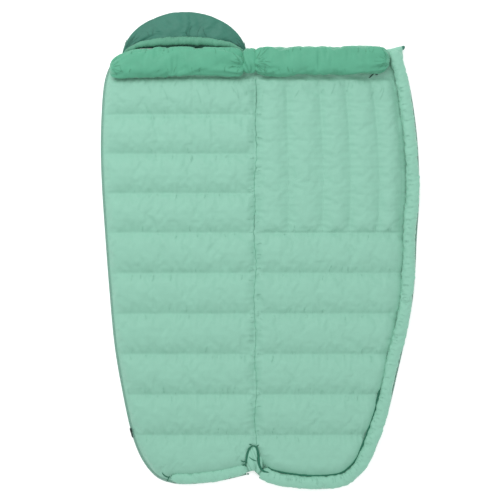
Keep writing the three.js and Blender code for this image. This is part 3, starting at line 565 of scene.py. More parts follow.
def panel_grid(panel, inset=EDGE_INSET):
    """Points (x, y) of a panel's cloth from foot to head and from the centre seam to the edge."""
    shares, _ = column_shares(panel)
    edge = moved_in(panel.edge, panel.side, inset)
    turn = np.argmin(edge[:, 1])
    foot_y = FOOT_CORNER * HALF
    stations = [*SEAMS, PANEL_TOP]
    counts = [CHAMBER_ROWS] * (len(SEAMS) - 1) + [YOKE_ROWS]
    rows = np.concatenate([np.linspace(a, b, n, endpoint=False) for a, b, n in zip(stations, stations[1:], counts)])
    rows = np.append(rows, PANEL_TOP)
    far = np.interp(rows, edge[turn:, 1], edge[turn:, 0])
    upper = np.stack([CENTRE + (far[:, None] - CENTRE) * shares, np.repeat(rows[:, None], len(shares), 1)], -1)
    corner = turn + np.searchsorted(edge[turn:, 1], foot_y)
    foot = at_shares(edge[:corner + 1], shares)
    v = np.linspace(0, 1, FOOT_ROWS + 1)[:-1, None, None]
    u = shares[None, :, None]
    top = upper[:1]
    side_y = foot[-1, 1] + (SEAMS[0] - foot[-1, 1]) * v[:, :, 0]
    side = np.stack([np.interp(side_y, edge[turn:, 1], edge[turn:, 0]), side_y], -1)
    near_y = foot[0, 1] + (SEAMS[0] - foot[0, 1]) * v[:, :, 0]
    near = np.stack([np.full_like(near_y, CENTRE), near_y], -1)
    corners = (1 - u) * (1 - v) * foot[0] + u * (1 - v) * foot[-1] + (1 - u) * v * top[0, 0] + u * v * top[0, -1]
    lower = (1 - v) * foot[None] + v * top + (1 - u) * near + u * side - corners
    grid = np.vstack([lower, upper])
    fade = np.clip(1 - shares / 0.06, 0, 1)
    grid[:, :, 0] += seam_wander(grid[:, :, 1]) * fade
    return grid


SEAM_ROWS = FOOT_ROWS + CHAMBER_ROWS * np.arange(len(SEAMS))
CHEST_ROW, COLLAR_ROW = SEAM_ROWS[5], SEAM_ROWS[-1]
print("seam rows", SEAM_ROWS)

# %% [markdown]
# ## How high the lining stands
# Down fills each chamber like a pillow: nothing at its seams, full half way between them. The
# height here is the model's own profile, with the clumps and puckers of real quilting added. Short
# puckers run away from every stitched line because the thread gathers the cloth.

# %% Lining heights
LOFT = box("left_down_05")[1, 2] + 0.0025
SEAM_TOP = 0.027
EDGE_TOP = 0.0097
YOKE_TOP = 0.021
EDGE_ROUND = 0.060
TAIL_CLEAR = box("collar_cord_tail")[0, 0] - 0.06
CENTRE_ROUND = 0.045
CHANNEL_ROUND = 0.055


def rise(d, run, power=0.5):
    """A rounded rise, 0 at d = 0 and 1 from d = run on: 1 - (1 - d/run)^2 to a power. The power 0.5
    is a quarter of an ellipse, and 1 is a gentler parabola."""
    return (1 - (1 - np.clip(d / run, 0, 1)) ** 2) ** power


def edge_distance(line, grid):
    """Distance of every grid point from a line, row by row."""
    return np.stack([np.linalg.norm(row[:, None] - line[None], axis=2).min(axis=1) for row in grid])


def seat_width(panel, x, y):
    """Width of the flat strip along the edge: wide under the tube and the foot hem."""
    if panel is front:
        return TUBE_SEAT + 0.008 * np.clip((-0.55 - y) / 0.15, 0, 1)
    t = np.clip((box("foot_hem_casing")[0, 0] - x) / 0.06, 0, 1)
    return HEM_SEAT + (EDGE_INSET - HEM_SEAT) * t * t * (3 - 2 * t)


def between(stops, value):
    """How full a chamber is at a value between two of its stops: 4t(1 - t) to the power 0.8."""
    i = np.clip(np.searchsorted(stops, value, side="right"), 1, len(stops) - 1)
    t = np.clip((value - stops[i - 1]) / (stops[i] - stops[i - 1]), 0, 1)
    return (4 * t * (1 - t)) ** 0.8


def puckers(along, off, seed, pitch=0.021, reach=0.030):
    """Short ridges that run away from a seam: waves along it that die out with the distance."""
    return ripples(along, off * 0.35, pitch, seed) * np.exp(-np.abs(off) / reach)


def lining_height(panel, grid):
    """Height of the lining at each point of its grid."""
    x, y = grid[:, :, 0], grid[:, :, 1]
    shares, _ = column_shares(panel)
    inside = np.minimum(PANEL_TOP - y - EDGE_INSET, edge_distance(panel.edge, grid) - seat_width(panel, x, y))
    run = EDGE_ROUND + (0.045 * np.exp(-((y - 0.1) / 0.35) ** 2) if panel is front else 0)
    edge = rise(inside, run, 0.75 if panel is back else 0.95)
    stops = np.array([-HALF, *SEAMS])
    puff = between(stops, y)
    nearest = np.abs(y[:, :, None] - SEAMS[None, None, :]).min(axis=2)
    across = puckers(x, nearest, 31 if panel is back else 32)
    if panel is front:
        ends = rise(y - CHEST, CHANNEL_ROUND) * rise(SEAMS[-1] - y, CHANNEL_ROUND)
        upright = (0.38 + 0.62 * between(CHANNELS, np.broadcast_to(shares, x.shape))) * ends
        upper = y > CHEST
        puff = np.where(upper, upright, puff)
        width = (grid[:, -1, 0] - CENTRE)[:, None]
        off = np.abs(shares[None, :, None] - CHANNELS[None, None, :]).min(axis=2) * width
        across = np.where(upper, puckers(y, off, 33) * (off < 0.07), across)
    puff = puff * rise(np.abs(x - CENTRE), CENTRE_ROUND, 0.8)
    full = EDGE_TOP + (SEAM_TOP + (LOFT - SEAM_TOP) * puff - EDGE_TOP) * edge
    cord_side = np.clip((x - TAIL_CLEAR) / 0.05, 0, 1)
    full = full + 0.010 * (1 - cord_side) * edge * np.exp(-((y - SEAMS[-1]) / 0.03) ** 2)
    yoke = EDGE_TOP + (YOKE_TOP + 0.010 * (1 - cord_side) - EDGE_TOP) * edge
    height = np.where(y > SEAMS[-1], yoke, full)
    clumps = 0.0008 * ripples(x, y, 0.085, 11) + 0.0006 * ripples(x, y, 0.034, 12)
    centre = 0.0026 * puckers(y, x - CENTRE, 34, pitch=0.022, reach=0.026)
    off_centre = (np.abs(x - CENTRE) - 0.011) / 0.009
    beads = 0.0065 * np.exp(-off_centre**2 - (nearest / 0.011) ** 2)
    slanted = 0.0005 * ripples(x * 0.5 + y, y - x, 0.03, 13)
    return height + edge * (clumps * (0.35 + puff) + 0.0015 * across + centre + beads + slanted)


# %% Linings
def held_points(panel, rows, columns):
    """Which grid points are sewn down: the borders, the cross seams and the upright seams."""
    held = np.zeros((rows, columns), bool)
    held[[0, -1]] = True
    held[:, [0, -1]] = True
    held[SEAM_ROWS if panel is back else SEAM_ROWS[:6]] = True
    held[COLLAR_ROW] = True
    if panel is front:
        _, stops = column_shares(panel)
        held[CHEST_ROW:COLLAR_ROW + 1, stops] = True
    return held


linings = {}
for panel in (back, front):
    flat = panel_grid(panel)
    height = lining_height(panel, flat)
    panel.flat = flat
    surface = np.dstack([flat, height])
    piece = sheet_piece(f"{panel.name}_lining_cloth", surface, lining_cloth, "lining_cloth", flip=panel is back)
    held = held_points(panel, *flat.shape[:2])
    blown(piece, held.ravel(), pressure=1.6, shrink=-0.024, cap=0.005)
    panel.surface = points_of(piece).reshape(surface.shape)
    smoothed(piece)
    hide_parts(f"{panel.name}_lining")
    linings[panel.name] = piece

# %% [markdown]
# ## Shell, baffle walls and down
# The shell is the side that lies on the ground. The same seams draw it up a little, so that it is
# quilted too when the front panel is folded over. Between the two cloths stand the baffle walls,
# and every chamber holds one soft block of down just under the lining.

# %% Shell
STEP = 2


def shell_surface(panel):
    """The shell's grid: flat on the ground, drawn up at the seams and curled up at the zip."""
    rows = np.unique(np.append(np.arange(0, panel.flat.shape[0], STEP), panel.flat.shape[0] - 1))
    grid = panel.flat[rows][:, ::STEP]
    x, y = grid[:, :, 0], grid[:, :, 1]
    near = np.abs(y[:, :, None] - SEAMS[None, None, :]).min(axis=2)
    lift = 0.007 * np.exp(-(near / 0.016) ** 2)
    if panel is front:
        shares, _ = column_shares(panel)
        width = (grid[:, -1, 0] - CENTRE)[:, None]
        off = np.abs(shares[::STEP][None, :, None] - CHANNELS[None, None, 1:]).min(axis=2) * width
        lift = np.where((y > CHEST) & (y < SEAMS[-1]), 0.007 * np.exp(-(off / 0.016) ** 2), lift)
    lift = np.maximum(lift, 0.008 * np.exp(-((x - CENTRE) / 0.018) ** 2))
    edge = np.minimum(edge_distance(panel.edge, grid) - EDGE_INSET, PANEL_TOP - y)
    curl = 0.0066 * np.clip(1 - edge / 0.012, 0, 1) ** 1.5
    creases = 0.0006 * np.abs(ripples(x, y, 0.04, 21)) + 0.0005 * np.abs(ripples(x, y, 0.018, 22))
    return np.dstack([grid, 0.0002 + np.maximum(lift, curl) + creases])


for panel in (back, front):
    panel.shell = shell_surface(panel)
    piece = sheet_piece(f"{panel.name}_shell_cloth", panel.shell, shell_cloth, "shell_cloth", flip=panel is front)
    smoothed(piece)
    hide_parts(f"{panel.name}_shell")
    panel.shell_piece = piece

# %% Baffle walls
INSIDE_FLOOR = 0.0100


def wall_strip(top, gap=0.003):
    """Two rows of points: a seam's line just under the lining, and the same line over the shell."""
    foot = top.copy()
    foot[:, 2] = INSIDE_FLOOR
    head = top.copy()
    head[:, 2] = np.maximum(top[:, 2] - gap, INSIDE_FLOOR + 0.001)
    return np.stack([foot, head])


def walls_piece(panel):
    """All the baffle walls of a panel as one piece of net."""
    last = COLUMNS - (1 if panel is back else 8)
    seams = SEAM_ROWS if panel is back else [*SEAM_ROWS[:6], COLLAR_ROW]
    strips = [wall_strip(panel.surface[row, 1:last]) for row in seams]
    if panel is front:
        _, stops = column_shares(panel)
        strips += [wall_strip(panel.surface[CHEST_ROW:COLLAR_ROW, stop]) for stop in stops[1:-2]]
    points, faces, start = [], [], 0
    for strip in strips:
        points.append(strip.reshape(-1, 3))
        faces.append(grid_faces(*strip.shape[:2]) + start)
        start += strip.shape[0] * strip.shape[1]
    piece = put(f"{panel.name}_walls", np.vstack(points), np.vstack(faces), baffle_mesh, "baffle_mesh")
    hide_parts(f"{panel.name}_baffle_walls")
    return piece


for panel in (back, front):
    panel.walls = walls_piece(panel)

# %% Down blocks
def down_block(name, top, node_name, gap=0.0045):
    """A closed block of down: a patch of the lining lowered a little, its walls and its base."""
    rows, columns = top.shape[:2]
    upper = top.copy()
    upper[:, :, 2] = np.maximum(top[:, :, 2] - gap, INSIDE_FLOOR + 0.001)
    lower = upper.copy()
    lower[:, :, 2] = INSIDE_FLOOR
    count = rows * columns
    order = np.arange(count).reshape(rows, columns)
    rim = np.concatenate([order[0, :-1], order[:-1, -1], order[-1, :0:-1], order[:0:-1, 0]])
    after = np.roll(rim, -1)
    walls = np.stack([rim + count, after + count, after, rim], axis=1)
    lid = grid_faces(rows, columns)
    faces = np.vstack([lid, lid[:, ::-1] + count, walls])
    turned = upper[0, -1, 0] < upper[0, 0, 0]
    points = np.vstack([upper.reshape(-1, 3), lower.reshape(-1, 3)])
    piece = put(name, points, faces[:, ::-1] if turned else faces, down_fluff, "down")
    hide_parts(node_name)
    return piece


def patch(panel, rows, columns):
    """Part of a panel's lining between two rows and two columns, thinned out for the down. Each
    point takes the lowest height around it, so that the down stays under every wrinkle."""
    lowest = panel.surface.copy()
    for step in range(-5, 6):
        lowest[:, :, 2] = np.minimum(lowest[:, :, 2], np.roll(panel.surface[:, :, 2], step, axis=0))
    for step in range(-4, 5):
        lowest[:, :, 2] = np.minimum(lowest[:, :, 2], np.roll(lowest[:, :, 2], step, axis=1))
    r = np.unique(np.linspace(rows[0] + 1, rows[1] - 1, 9).round().astype(int))
    count = max(6, (columns[1] - columns[0]) // 3)
    c = np.unique(np.linspace(columns[0] + 1, columns[1] - 1, count).round().astype(int))
    return lowest[np.ix_(r, c)]


downs = {"left": [], "right": []}
for i, node_name in enumerate(DOWNS):
    first = SEAM_ROWS[i - 1] if i else FOOT_ROWS // 3
    block = patch(back, (first, SEAM_ROWS[i]), (0, COLUMNS - (3 if i else 8)))
    downs["left"].append(down_block(f"left_filling_{i + 1:02d}", block, node_name))
for i in range(6):
    first = SEAM_ROWS[i - 1] if i else FOOT_ROWS // 3
    block = patch(front, (first, SEAM_ROWS[i]), (0, COLUMNS - 10))
    downs["right"].append(down_block(f"right_filling_{i + 1}", block, f"right_down_lower_{i + 1}"))
_, stops = column_shares(front)
for i in range(5):
    block = patch(front, (CHEST_ROW, COLLAR_ROW), (stops[i], stops[i + 1]))
    downs["right"].append(down_block(f"chest_filling_{i + 1}", block, f"right_down_chest_{i + 1}"))
for panel, word in ((back, "left"), (front, "right")):
    block = patch(panel, (COLLAR_ROW, COLLAR_ROW + YOKE_ROWS - 2), (0, COLUMNS - (3 if panel is back else 10)))
    downs[word].append(down_block(f"{word}_yoke_filling", block, f"{word}_yoke_down"))
print(sum(map(len, downs.values())), "blocks of down")

# %% [markdown]
# ## Draft tube and foot hem
# The draft tube is a long stuffed roll sewn beside the front panel's zip, and the hem is a smaller
# one round the back panel's foot. Each is a ring of points carried along the edge line moved
# inwards. The cloth is gathered where it is sewn down, so it puckers across its length.

# %% Rolls along an edge
RING = 22


def edge_roll(line, side, size, seed, tip=0.05):
    """Rings carried along an edge line: centre inset, width, middle height and height in size.
    Each ring is a flattened circle, rounded off to nothing within tip of either end."""
    inset, width, middle, height = size
    line = evenly(line, 0.005)
    along = lengths_along(line)
    left = np.minimum(along, along[-1] - along)
    girth = rise(left + 0.0015, tip)
    girth *= 1 + 0.05 * ripples(along, 0 * along, 0.21, seed)
    angle = np.linspace(0, 2 * np.pi, RING, endpoint=False)
    across, up = np.cos(angle), np.sin(angle)
    s, a = along[:, None], angle[None, :]
    sewn = np.clip(-up, 0, 1)[None, :] ** 0.5
    gather = 0.0015 * ripples(s, a * 0.02, 0.019, seed + 1) + 0.0012 * ripples(s, a * 0.03, 0.05, seed + 2)
    radius = girth[:, None] * (1 + 0 * a) + gather / (height / 2) * (0.6 + 0.8 * sewn)
    centre = moved_in(line, side, inset + 0.002 * ripples(along, 0 * along, 0.3, seed + 3))
    tangent = np.gradient(line, axis=0)
    tangent /= np.linalg.norm(tangent, axis=1, keepdims=True)
    inwards = side * np.stack([-tangent[:, 1], tangent[:, 0]], axis=1)
    out = (width / 2) * across[None, :] * radius
    plan = centre[:, None] + inwards[:, None] * out[:, :, None]
    z = middle + (height / 2) * np.sign(up) * np.abs(up) ** 0.8 * radius
    return np.dstack([plan, z])


def roll_size(casing, inset, width):
    """Size of a roll whose casing is a model node: its height comes from the node's box."""
    low, high = box(casing)[:, 2]
    return inset, width, (low + high) / 2, high - low - 0.002


def padded_roll(name, grid, material, slot, nodes, flip, shrink=-0.04, cap=0.004, pressure=1.5):
    """A stuffed roll: held along its sewn underside and blown up."""
    piece = roll_piece(name, grid, material, slot, flip)
    z = points_of(piece)[:, 2]
    blown(piece, z < grid[:, :, 2].min() + 0.004, pressure=pressure, shrink=shrink, cap=cap)
    smoothed(piece)
    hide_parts(*nodes)
    return piece


def filling_of(name, grid, nodes):
    """The down inside a roll: the same rings drawn in towards their middles."""
    middle = grid.mean(axis=1, keepdims=True)
    inner = (middle + (grid - middle) * 0.74)[4:-4:2, ::2]
    piece = roll_piece(name, inner, down_fluff, "down", flip=grid_turns(grid))
    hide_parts(*nodes)
    return piece


def grid_turns(grid):
    """True if a roll's faces would point inwards as its grid is ordered."""
    middle = grid[len(grid) // 2].mean(axis=0)
    a, b = grid[len(grid) // 2, 0], grid[len(grid) // 2, 1]
    c = grid[len(grid) // 2 + 1, 0]
    return float(np.dot(np.cross(b - a, c - a), a - middle)) < 0


# %% Draft tube
tube_top = box("draft_tube_casing")[1, 1]
front_line = front.edge
tube_end = np.argmin(np.abs(front_line[:, 1] - tube_top - 0.012) + (front_line[:, 1] < 0))
tube_start = np.argmax(front_line[:, 0] > CENTRE + 0.006)
tube_grid = edge_roll(front_line[tube_start:tube_end], 1, roll_size("draft_tube_casing", 0.032, 0.053), 41, tip=0.024)
draft_tube = padded_roll(
    "draft_tube", tube_grid, tube_cloth, "lining_cloth", ["draft_tube_casing"], grid_turns(tube_grid),
    shrink=-0.03, cap=0.0028,
)
tube_filling = filling_of("draft_tube_filling", tube_grid, ["draft_tube_down"])

# %% Foot hem
back_line = back.edge
hem_start = np.argmax(back_line[:, 0] < CENTRE - 0.022)
hem_end = np.argmax(back_line[:, 0] < box("foot_hem_casing")[0, 0] - 0.02)
hem_grid = edge_roll(back_line[hem_start:hem_end], -1, roll_size("foot_hem_casing", 0.027, 0.048), 51, tip=0.05)
foot_hem = padded_roll(
    "foot_hem", hem_grid, tube_cloth, "lining_cloth", ["foot_hem_casing"], grid_turns(hem_grid),
    shrink=-0.03, cap=0.0028,
)
hem_filling = filling_of("foot_hem_filling", hem_grid, ["foot_hem_down"])

# %% [markdown]
# ## Collars
# Two fat rolls lie across the head of the quilt, with a gathered knob between them where the
# bag's centre seam pulls them together. Each roll is a set of flattened rings carried along x,
# whose front and back follow a given outline. Creases fan out from the gathered ends.

# %% Collar rolls
def collar_roll(ends, outline, heights, seed, gathers=()):
    """Rings carried along x. outline gives (share of the run, front y, back y) and each ring is a
    rounded box between them; gathers lists (x, strength) of the ends that creases fan out from."""
    x0, x1 = ends
    count = round(abs(x1 - x0) / 0.0065)
    x = np.linspace(x0, x1, count + 1)
    share = (x - x0) / (x1 - x0)
    stops = np.array(outline)
    low, high = np.interp(share, stops[:, 0], stops[:, 1]), np.interp(share, stops[:, 0], stops[:, 2])
    soften = np.ones(9) / 9
    low = np.convolve(np.pad(low, 4, "edge"), soften, "valid")
    high = np.convolve(np.pad(high, 4, "edge"), soften, "valid")
    end = np.minimum(x - x0, x1 - x)
    girth = rise(end + 0.0006, 0.036)[:, None]
    reach = rise(end + 0.0006, 0.030, 0.3)[:, None]
    angle = np.linspace(0, 2 * np.pi, 44, endpoint=False)[None, :]
    across = np.sign(np.cos(angle)) * np.abs(np.cos(angle)) ** 0.85
    up = np.sign(np.sin(angle)) * np.abs(np.sin(angle)) ** 0.85
    s = x[:, None]
    folds = 0.0011 * ripples(s * 0.35, angle * 0.03, 0.05, seed) + 0.0006 * ripples(s, angle * 0.012, 0.02, seed + 1)
    slant = ripples(s * 0.45 + angle * 0.035, angle * 0.03 - s * 0.2, 0.045, seed + 3)
    folds = folds - 0.0022 * np.maximum(slant - 0.3, 0)
    for at, strength in gathers:
        fade = np.exp(-np.abs(s - at) / 0.085)
        folds = folds + strength * fade * ripples(angle * 0.05, s * 0.22, 0.045, seed + 2)
    middle = (low + high)[:, None] / 2
    y = middle + ((high - low)[:, None] / 2) * across * reach + folds * across
    z_low, z_high = heights
    sag = 1 - 0.06 * ripples(s, 0 * angle, 0.3, seed + 4)
    z = (z_low + z_high) / 2 + (z_high - z_low) / 2 * up * girth * np.where(up > 0, sag * 0.97, 1) + folds * up
    return np.dstack([np.broadcast_to(s, y.shape), y, np.maximum(z, z_low - 0.001)])


def collar_heights(casing):
    """Lowest and highest point of a collar roll."""
    low, high = box(casing)[:, 2]
    return low, high


left_box, right_box = box("collar_left_casing"), box("collar_right_casing")
FRONT_Y, BACK_Y = left_box[0, 1], left_box[1, 1]
LEFT_OUTLINE = [
    (0, FRONT_Y + 0.004, BACK_Y - 0.072), (0.06, FRONT_Y - 0.002, BACK_Y - 0.042),
    (0.17, FRONT_Y - 0.001, BACK_Y - 0.014), (0.4, FRONT_Y + 0.001, BACK_Y - 0.005),
    (0.7, FRONT_Y + 0.003, BACK_Y - 0.005), (0.9, FRONT_Y + 0.005, BACK_Y - 0.016),
    (1, FRONT_Y + 0.010, BACK_Y - 0.034),
]
RIGHT_OUTLINE = [
    (0, FRONT_Y + 0.026, BACK_Y - 0.022), (0.07, FRONT_Y + 0.012, BACK_Y - 0.010),
    (0.2, FRONT_Y + 0.006, BACK_Y - 0.001), (0.5, FRONT_Y + 0.008, BACK_Y), (0.72, FRONT_Y + 0.012, BACK_Y),
    (0.88, FRONT_Y + 0.017, BACK_Y - 0.003), (0.96, FRONT_Y + 0.024, BACK_Y - 0.009),
    (1, FRONT_Y + 0.038, BACK_Y - 0.018),
]
collars = {}
for word, ends, outline, gathers, seed in (
    ("left", (left_box[0, 0] - 0.008, left_box[1, 0] + 0.012), LEFT_OUTLINE, [(left_box[1, 0], 0.009), (left_box[0, 0], 0.004)], 61),
    ("right", (right_box[0, 0] - 0.008, right_box[1, 0] + 0.018), RIGHT_OUTLINE, [(right_box[0, 0], 0.009), (right_box[1, 0], 0.005)], 71),
):
    grid = collar_roll(ends, outline, collar_heights(f"collar_{word}_casing"), seed, gathers)
    piece = padded_roll(
        f"collar_{word}", grid, collar_cloth, "collar_cloth", [f"collar_{word}_casing"], grid_turns(grid),
        shrink=-0.05, cap=0.005,
    )
    collars[word] = (piece, filling_of(f"collar_{word}_filling", grid, [f"collar_{word}_down"]))

# %% [markdown]
# ## Gathered knobs
# Where the zip turns at the foot and where the collars meet, cloth is bunched into small puffy
# lumps. A lump is a ball whose radius dips along a few deep creases that run over it.

# %% Lumps
def lump(name, centre, radii, material, slot, seed, creases=4, depth=0.22, twist=1.2, boxy=1.0, nodes=()):
    """A creased ball: its radius is 1 less depth times narrow grooves that spiral from pole to pole.
    The poles point along y, so the grooves run the way the gathers do. boxy under 1 squares it."""
    lat = np.linspace(-np.pi / 2, np.pi / 2, 34)[1:-1, None]
    lon = np.linspace(0, 2 * np.pi, 52, endpoint=False)[None, :]
    draw = np.random.default_rng(seed)
    grooves = 0
    for k in range(creases):
        at = 2 * np.pi * k / creases + draw.uniform(-0.4, 0.4) + twist * lat
        off = np.angle(np.exp(1j * (lon - at)))
        grooves = grooves + np.exp(-(off / 0.22) ** 2) * draw.uniform(0.6, 1.1)
    radius = 1 - depth * grooves * (0.35 + 0.65 * np.cos(lat)) + 0.03 * ripples(lon, lat, 0.9, seed)
    x = np.cos(lat) ** boxy * np.cos(lon) * radius
    y = np.sin(lat) * radius
    z = np.cos(lat) * np.sin(lon) * radius
    grid = np.dstack([x, y, z]) * radii + centre
    grid[:, :, 2] = np.maximum(grid[:, :, 2], centre[2] - radii[2])
    piece = roll_piece(name, grid, material, slot, grid_turns(grid))
    smoothed(piece)
    if nodes:
        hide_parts(*nodes)
    return piece


def box_lump(name, node_name, material, slot, seed, grow=(0, 0, 0), shift=(0, 0, 0), **looks):
    """A lump that fills a model node's box, grown and shifted a little."""
    low, high = box(node_name)
    centre, radii = (low + high) / 2 + shift, (high - low) / 2 + grow
    return lump(name, centre, radii, material, slot, seed, nodes=[node_name], **looks)


collar_knob = box_lump(
    "collar_knob", "collar_gather", collar_cloth, "collar_cloth", 81,
    grow=(0.012, 0, -0.002), shift=(0.005, 0, -0.001), creases=5, depth=0.2, twist=0.5, boxy=0.6,
)
foot_knob_left = box_lump(
    "foot_knob_left", "foot_gather_left", tube_cloth, "lining_cloth", 82,
    grow=(0.010, 0.020, 0.004), shift=(0.006, 0.028, 0.004), creases=4, depth=0.24, twist=0.9, boxy=0.75,
)
foot_knob_right = box_lump(
    "foot_knob_right", "foot_gather_right", tube_cloth, "lining_cloth", 83,
    grow=(0.003, 0.008, -0.002), shift=(-0.001, 0.006, -0.002), creases=3, depth=0.26, twist=-0.7, boxy=0.8,
)

# %% [markdown]
# ## Pillows with any outline
# The hood lies folded on itself, a half-moon with a soft crown. Such a shape is an outline drawn in
# towards one point: rings shrink from the outline to the middle while the height swells as a quarter
# circle, once for the upper side and once for the under side.

# %% Pillow
def pillow(outline, middle, heights, rings=16, wrinkle=None):
    """Rings of a closed pillow, from the middle of its under side over the rim to the middle of its
    upper side. share is how far a ring is from the middle, and height is the square root of 1 - share^2.4."""
    low, high, rim = heights
    outline, middle = np.asarray(outline, float), np.asarray(middle, float)
    share = np.sin(np.linspace(0, np.pi / 2, rings + 1))[1:]
    under, upper = share[:, None], share[::-1][1:, None]
    parts = []
    for part, limit in ((under, low), (upper, high)):
        plan = middle + (outline[None] - middle) * part[:, :, None]
        swell = np.sqrt(np.maximum(1 - part**2.4, 0))
        z = rim + (limit - rim) * swell * np.ones(len(outline))
        if wrinkle is not None and limit is high:
            z = z + wrinkle(plan[:, :, 0], plan[:, :, 1]) * np.clip(swell * 1.6, 0, 1)
        parts.append(np.dstack([plan, z]))
    return np.vstack(parts)


# %% Hood
hood_box = box("hood_shell")
HOOD_X = hood_box[:, 0].mean() + 0.003
HOOD_HALF = (hood_box[1, 0] - hood_box[0, 0]) / 2
HOOD_FOOT = hood_box[0, 1] - 0.008
HOOD_CROWN = hood_box[1, 1] - 0.005
HOOD_POWER = 2 / 1.75
HOOD_DROOP = 0.020


def half_moon(shrink=0.0, count=96):
    """A half-moon outline: a rounded arc over the crown, closed by a nearly straight base."""
    turn = np.linspace(0, np.pi, count)
    x = HOOD_X + (HOOD_HALF - shrink) * np.sign(np.cos(turn)) * np.abs(np.cos(turn)) ** HOOD_POWER
    y = HOOD_FOOT + (HOOD_CROWN - HOOD_FOOT - shrink) * np.sin(turn) ** HOOD_POWER
    base_x = np.linspace(x[-1], x[0], 50)[1:-1]
    base_y = HOOD_FOOT + shrink * 0.5 + 0 * base_x
    outline = np.vstack([np.stack([x, y], 1), np.stack([base_x, base_y], 1)])
    outline[:, 1] -= HOOD_DROOP * np.abs((outline[:, 0] - HOOD_X) / HOOD_HALF) ** 10
    return outline


def hood_wrinkles(x, y):
    """Creases that fan out from the two ends of the hood's mouth, and soft hollows between them."""
    total = 0.0014 * ripples(x, y, 0.06, 91) + 0.0007 * ripples(x, y, 0.025, 92)
    for at, seed in ((HOOD_X - HOOD_HALF, 93), (HOOD_X + HOOD_HALF, 94)):
        away = np.hypot(x - at, y - HOOD_FOOT + 0.02)
        turn = np.arctan2(y - HOOD_FOOT + 0.02, np.abs(x - at))
        total = total + 0.0062 * np.exp(-away / 0.10) * ripples(turn * 0.3, away * 0.1, 0.09, seed)
    fan = np.arctan2(x - HOOD_X, y - HOOD_FOOT + 0.06)
    return total + 0.0010 * ripples(fan * 0.4, 0 * y, 0.09, 95)


hood_mid = (HOOD_X, HOOD_FOOT + 0.06)
hood_grid = pillow(half_moon(), hood_mid, (0.001, hood_box[1, 2] - 0.002, 0.012), rings=26, wrinkle=hood_wrinkles)
hood = roll_piece("hood", hood_grid, hood_cloth, "hood_cloth", grid_turns(hood_grid))
hood_z = points_of(hood)[:, 2]
blown(hood, hood_z < 0.004, pressure=1.2, shrink=-0.03, cap=0.004)
smoothed(hood)
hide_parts("hood_shell")
inner_grid = pillow(half_moon(0.026), hood_mid, (0.006, hood_box[1, 2] - 0.015, 0.011), rings=8)
hood_filling = roll_piece("hood_filling", inner_grid, down_fluff, "down", grid_turns(inner_grid))
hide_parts("hood_down")
pocket_grid = pillow(half_moon(0.036), hood_mid, (0.009, hood_box[1, 2] - 0.018, 0.012), rings=8)
hood_pocket = roll_piece("hood_inside", pocket_grid, rim_cloth, "collar_cloth", grid_turns(pocket_grid))
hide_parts("hood_lining")

# %% [markdown]
# ## Hood rim
# The mouth of the hood has a ruched channel with a drawcord in it. It shows as a crescent between
# the hood and the collar, in the lighter green of the hood's lining.

# %% Hood rim
rim_box = box("hood_rim")
RIM_HALF = HOOD_HALF - 0.012


def crescent(count=130, ring=28):
    """Rings along an arc that rises as 1 - share^2. Both the width and the height fall to nothing
    at the ends, and a fine ruching runs across."""
    share = np.linspace(-1, 1, count)
    x = HOOD_X + RIM_HALF * share
    bulge = 1 - share**2
    drop = 0.018 * np.clip((np.abs(share) - 0.72) / 0.28, 0, 1) ** 1.5
    y = HOOD_FOOT + 0.003 + 0.0275 * bulge - drop
    wide = 0.004 + 0.0140 * bulge**0.6
    high = 0.003 + 0.0100 * bulge**0.8
    angle = np.linspace(0, 2 * np.pi, ring, endpoint=False)[None, :]
    s = x[:, None]
    ruche = 0.0012 * ripples(s, angle * 0.004, 0.014, 96) + 0.0010 * ripples(s, angle * 0.01, 0.034, 97)
    grid_y = y[:, None] + (wide[:, None] + ruche) * np.cos(angle)
    grid_z = 0.030 + 0.006 * bulge[:, None] + (high[:, None] + ruche) * np.sin(angle)
    return np.dstack([np.broadcast_to(s, grid_y.shape), grid_y, grid_z])


rim_grid = crescent()
hood_rim = roll_piece("hood_rim_channel", rim_grid, rim_cloth, "collar_cloth", grid_turns(rim_grid))
smoothed(hood_rim)
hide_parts("hood_rim")


# %% Mouth of the hood
def strip_grid(path, widths, thick=0.0008):
    """A thin closed strip along a path of points, whose half width at each point is given. It lies
    flat and its edges are rounded, so it reads as the bottom of a crease."""
    tangent = np.gradient(path[:, :2], axis=0)
    tangent /= np.maximum(np.linalg.norm(tangent, axis=1, keepdims=True), 1e-9)
    normal = np.stack([-tangent[:, 1], tangent[:, 0]], axis=1)
    angle = np.linspace(0, 2 * np.pi, 8, endpoint=False)
    plan = path[:, None, :2] + normal[:, None] * (widths[:, None] * np.cos(angle))[:, :, None]
    return np.dstack([plan, path[:, None, 2] + thick * np.sin(angle)])


def strip_along(path, widths, material, slot, name):
    """One such strip as a piece."""
    grid = strip_grid(path, widths)
    return roll_piece(name, grid, material, slot, grid_turns(grid))


# A near-black strip laid flat under the middle of the rim is painted shadow of the hood's open mouth.
mouth_share = np.linspace(-0.78, 0.78, 60)
mouth_path = np.stack([
    HOOD_X + RIM_HALF * mouth_share,
    HOOD_FOOT + 0.001 + 0.009 * (1 - mouth_share**2),
    np.full(60, 0.036),
], axis=1)
hood_mouth_shadow = strip_along(
    mouth_path, 0.0005 + 0.0075 * (1 - (mouth_share / 0.78) ** 2) ** 0.7, mouth_shadow_cloth, "hood_cloth", "hood_mouth_shadow",
)


def round_tube(path, radius, ring=10):
    """Rings of one radius carried along a path of points."""
    tangent = np.gradient(path, axis=0)
    tangent /= np.linalg.norm(tangent, axis=1, keepdims=True)
    side = np.cross(tangent, [0, 0, 1])
    side /= np.maximum(np.linalg.norm(side, axis=1, keepdims=True), 1e-9)
    up = np.cross(side, tangent)
    angle = np.linspace(0, 2 * np.pi, ring, endpoint=False)[None, :, None]
    return path[:, None] + radius * (np.cos(angle) * side[:, None] + np.sin(angle) * up[:, None])


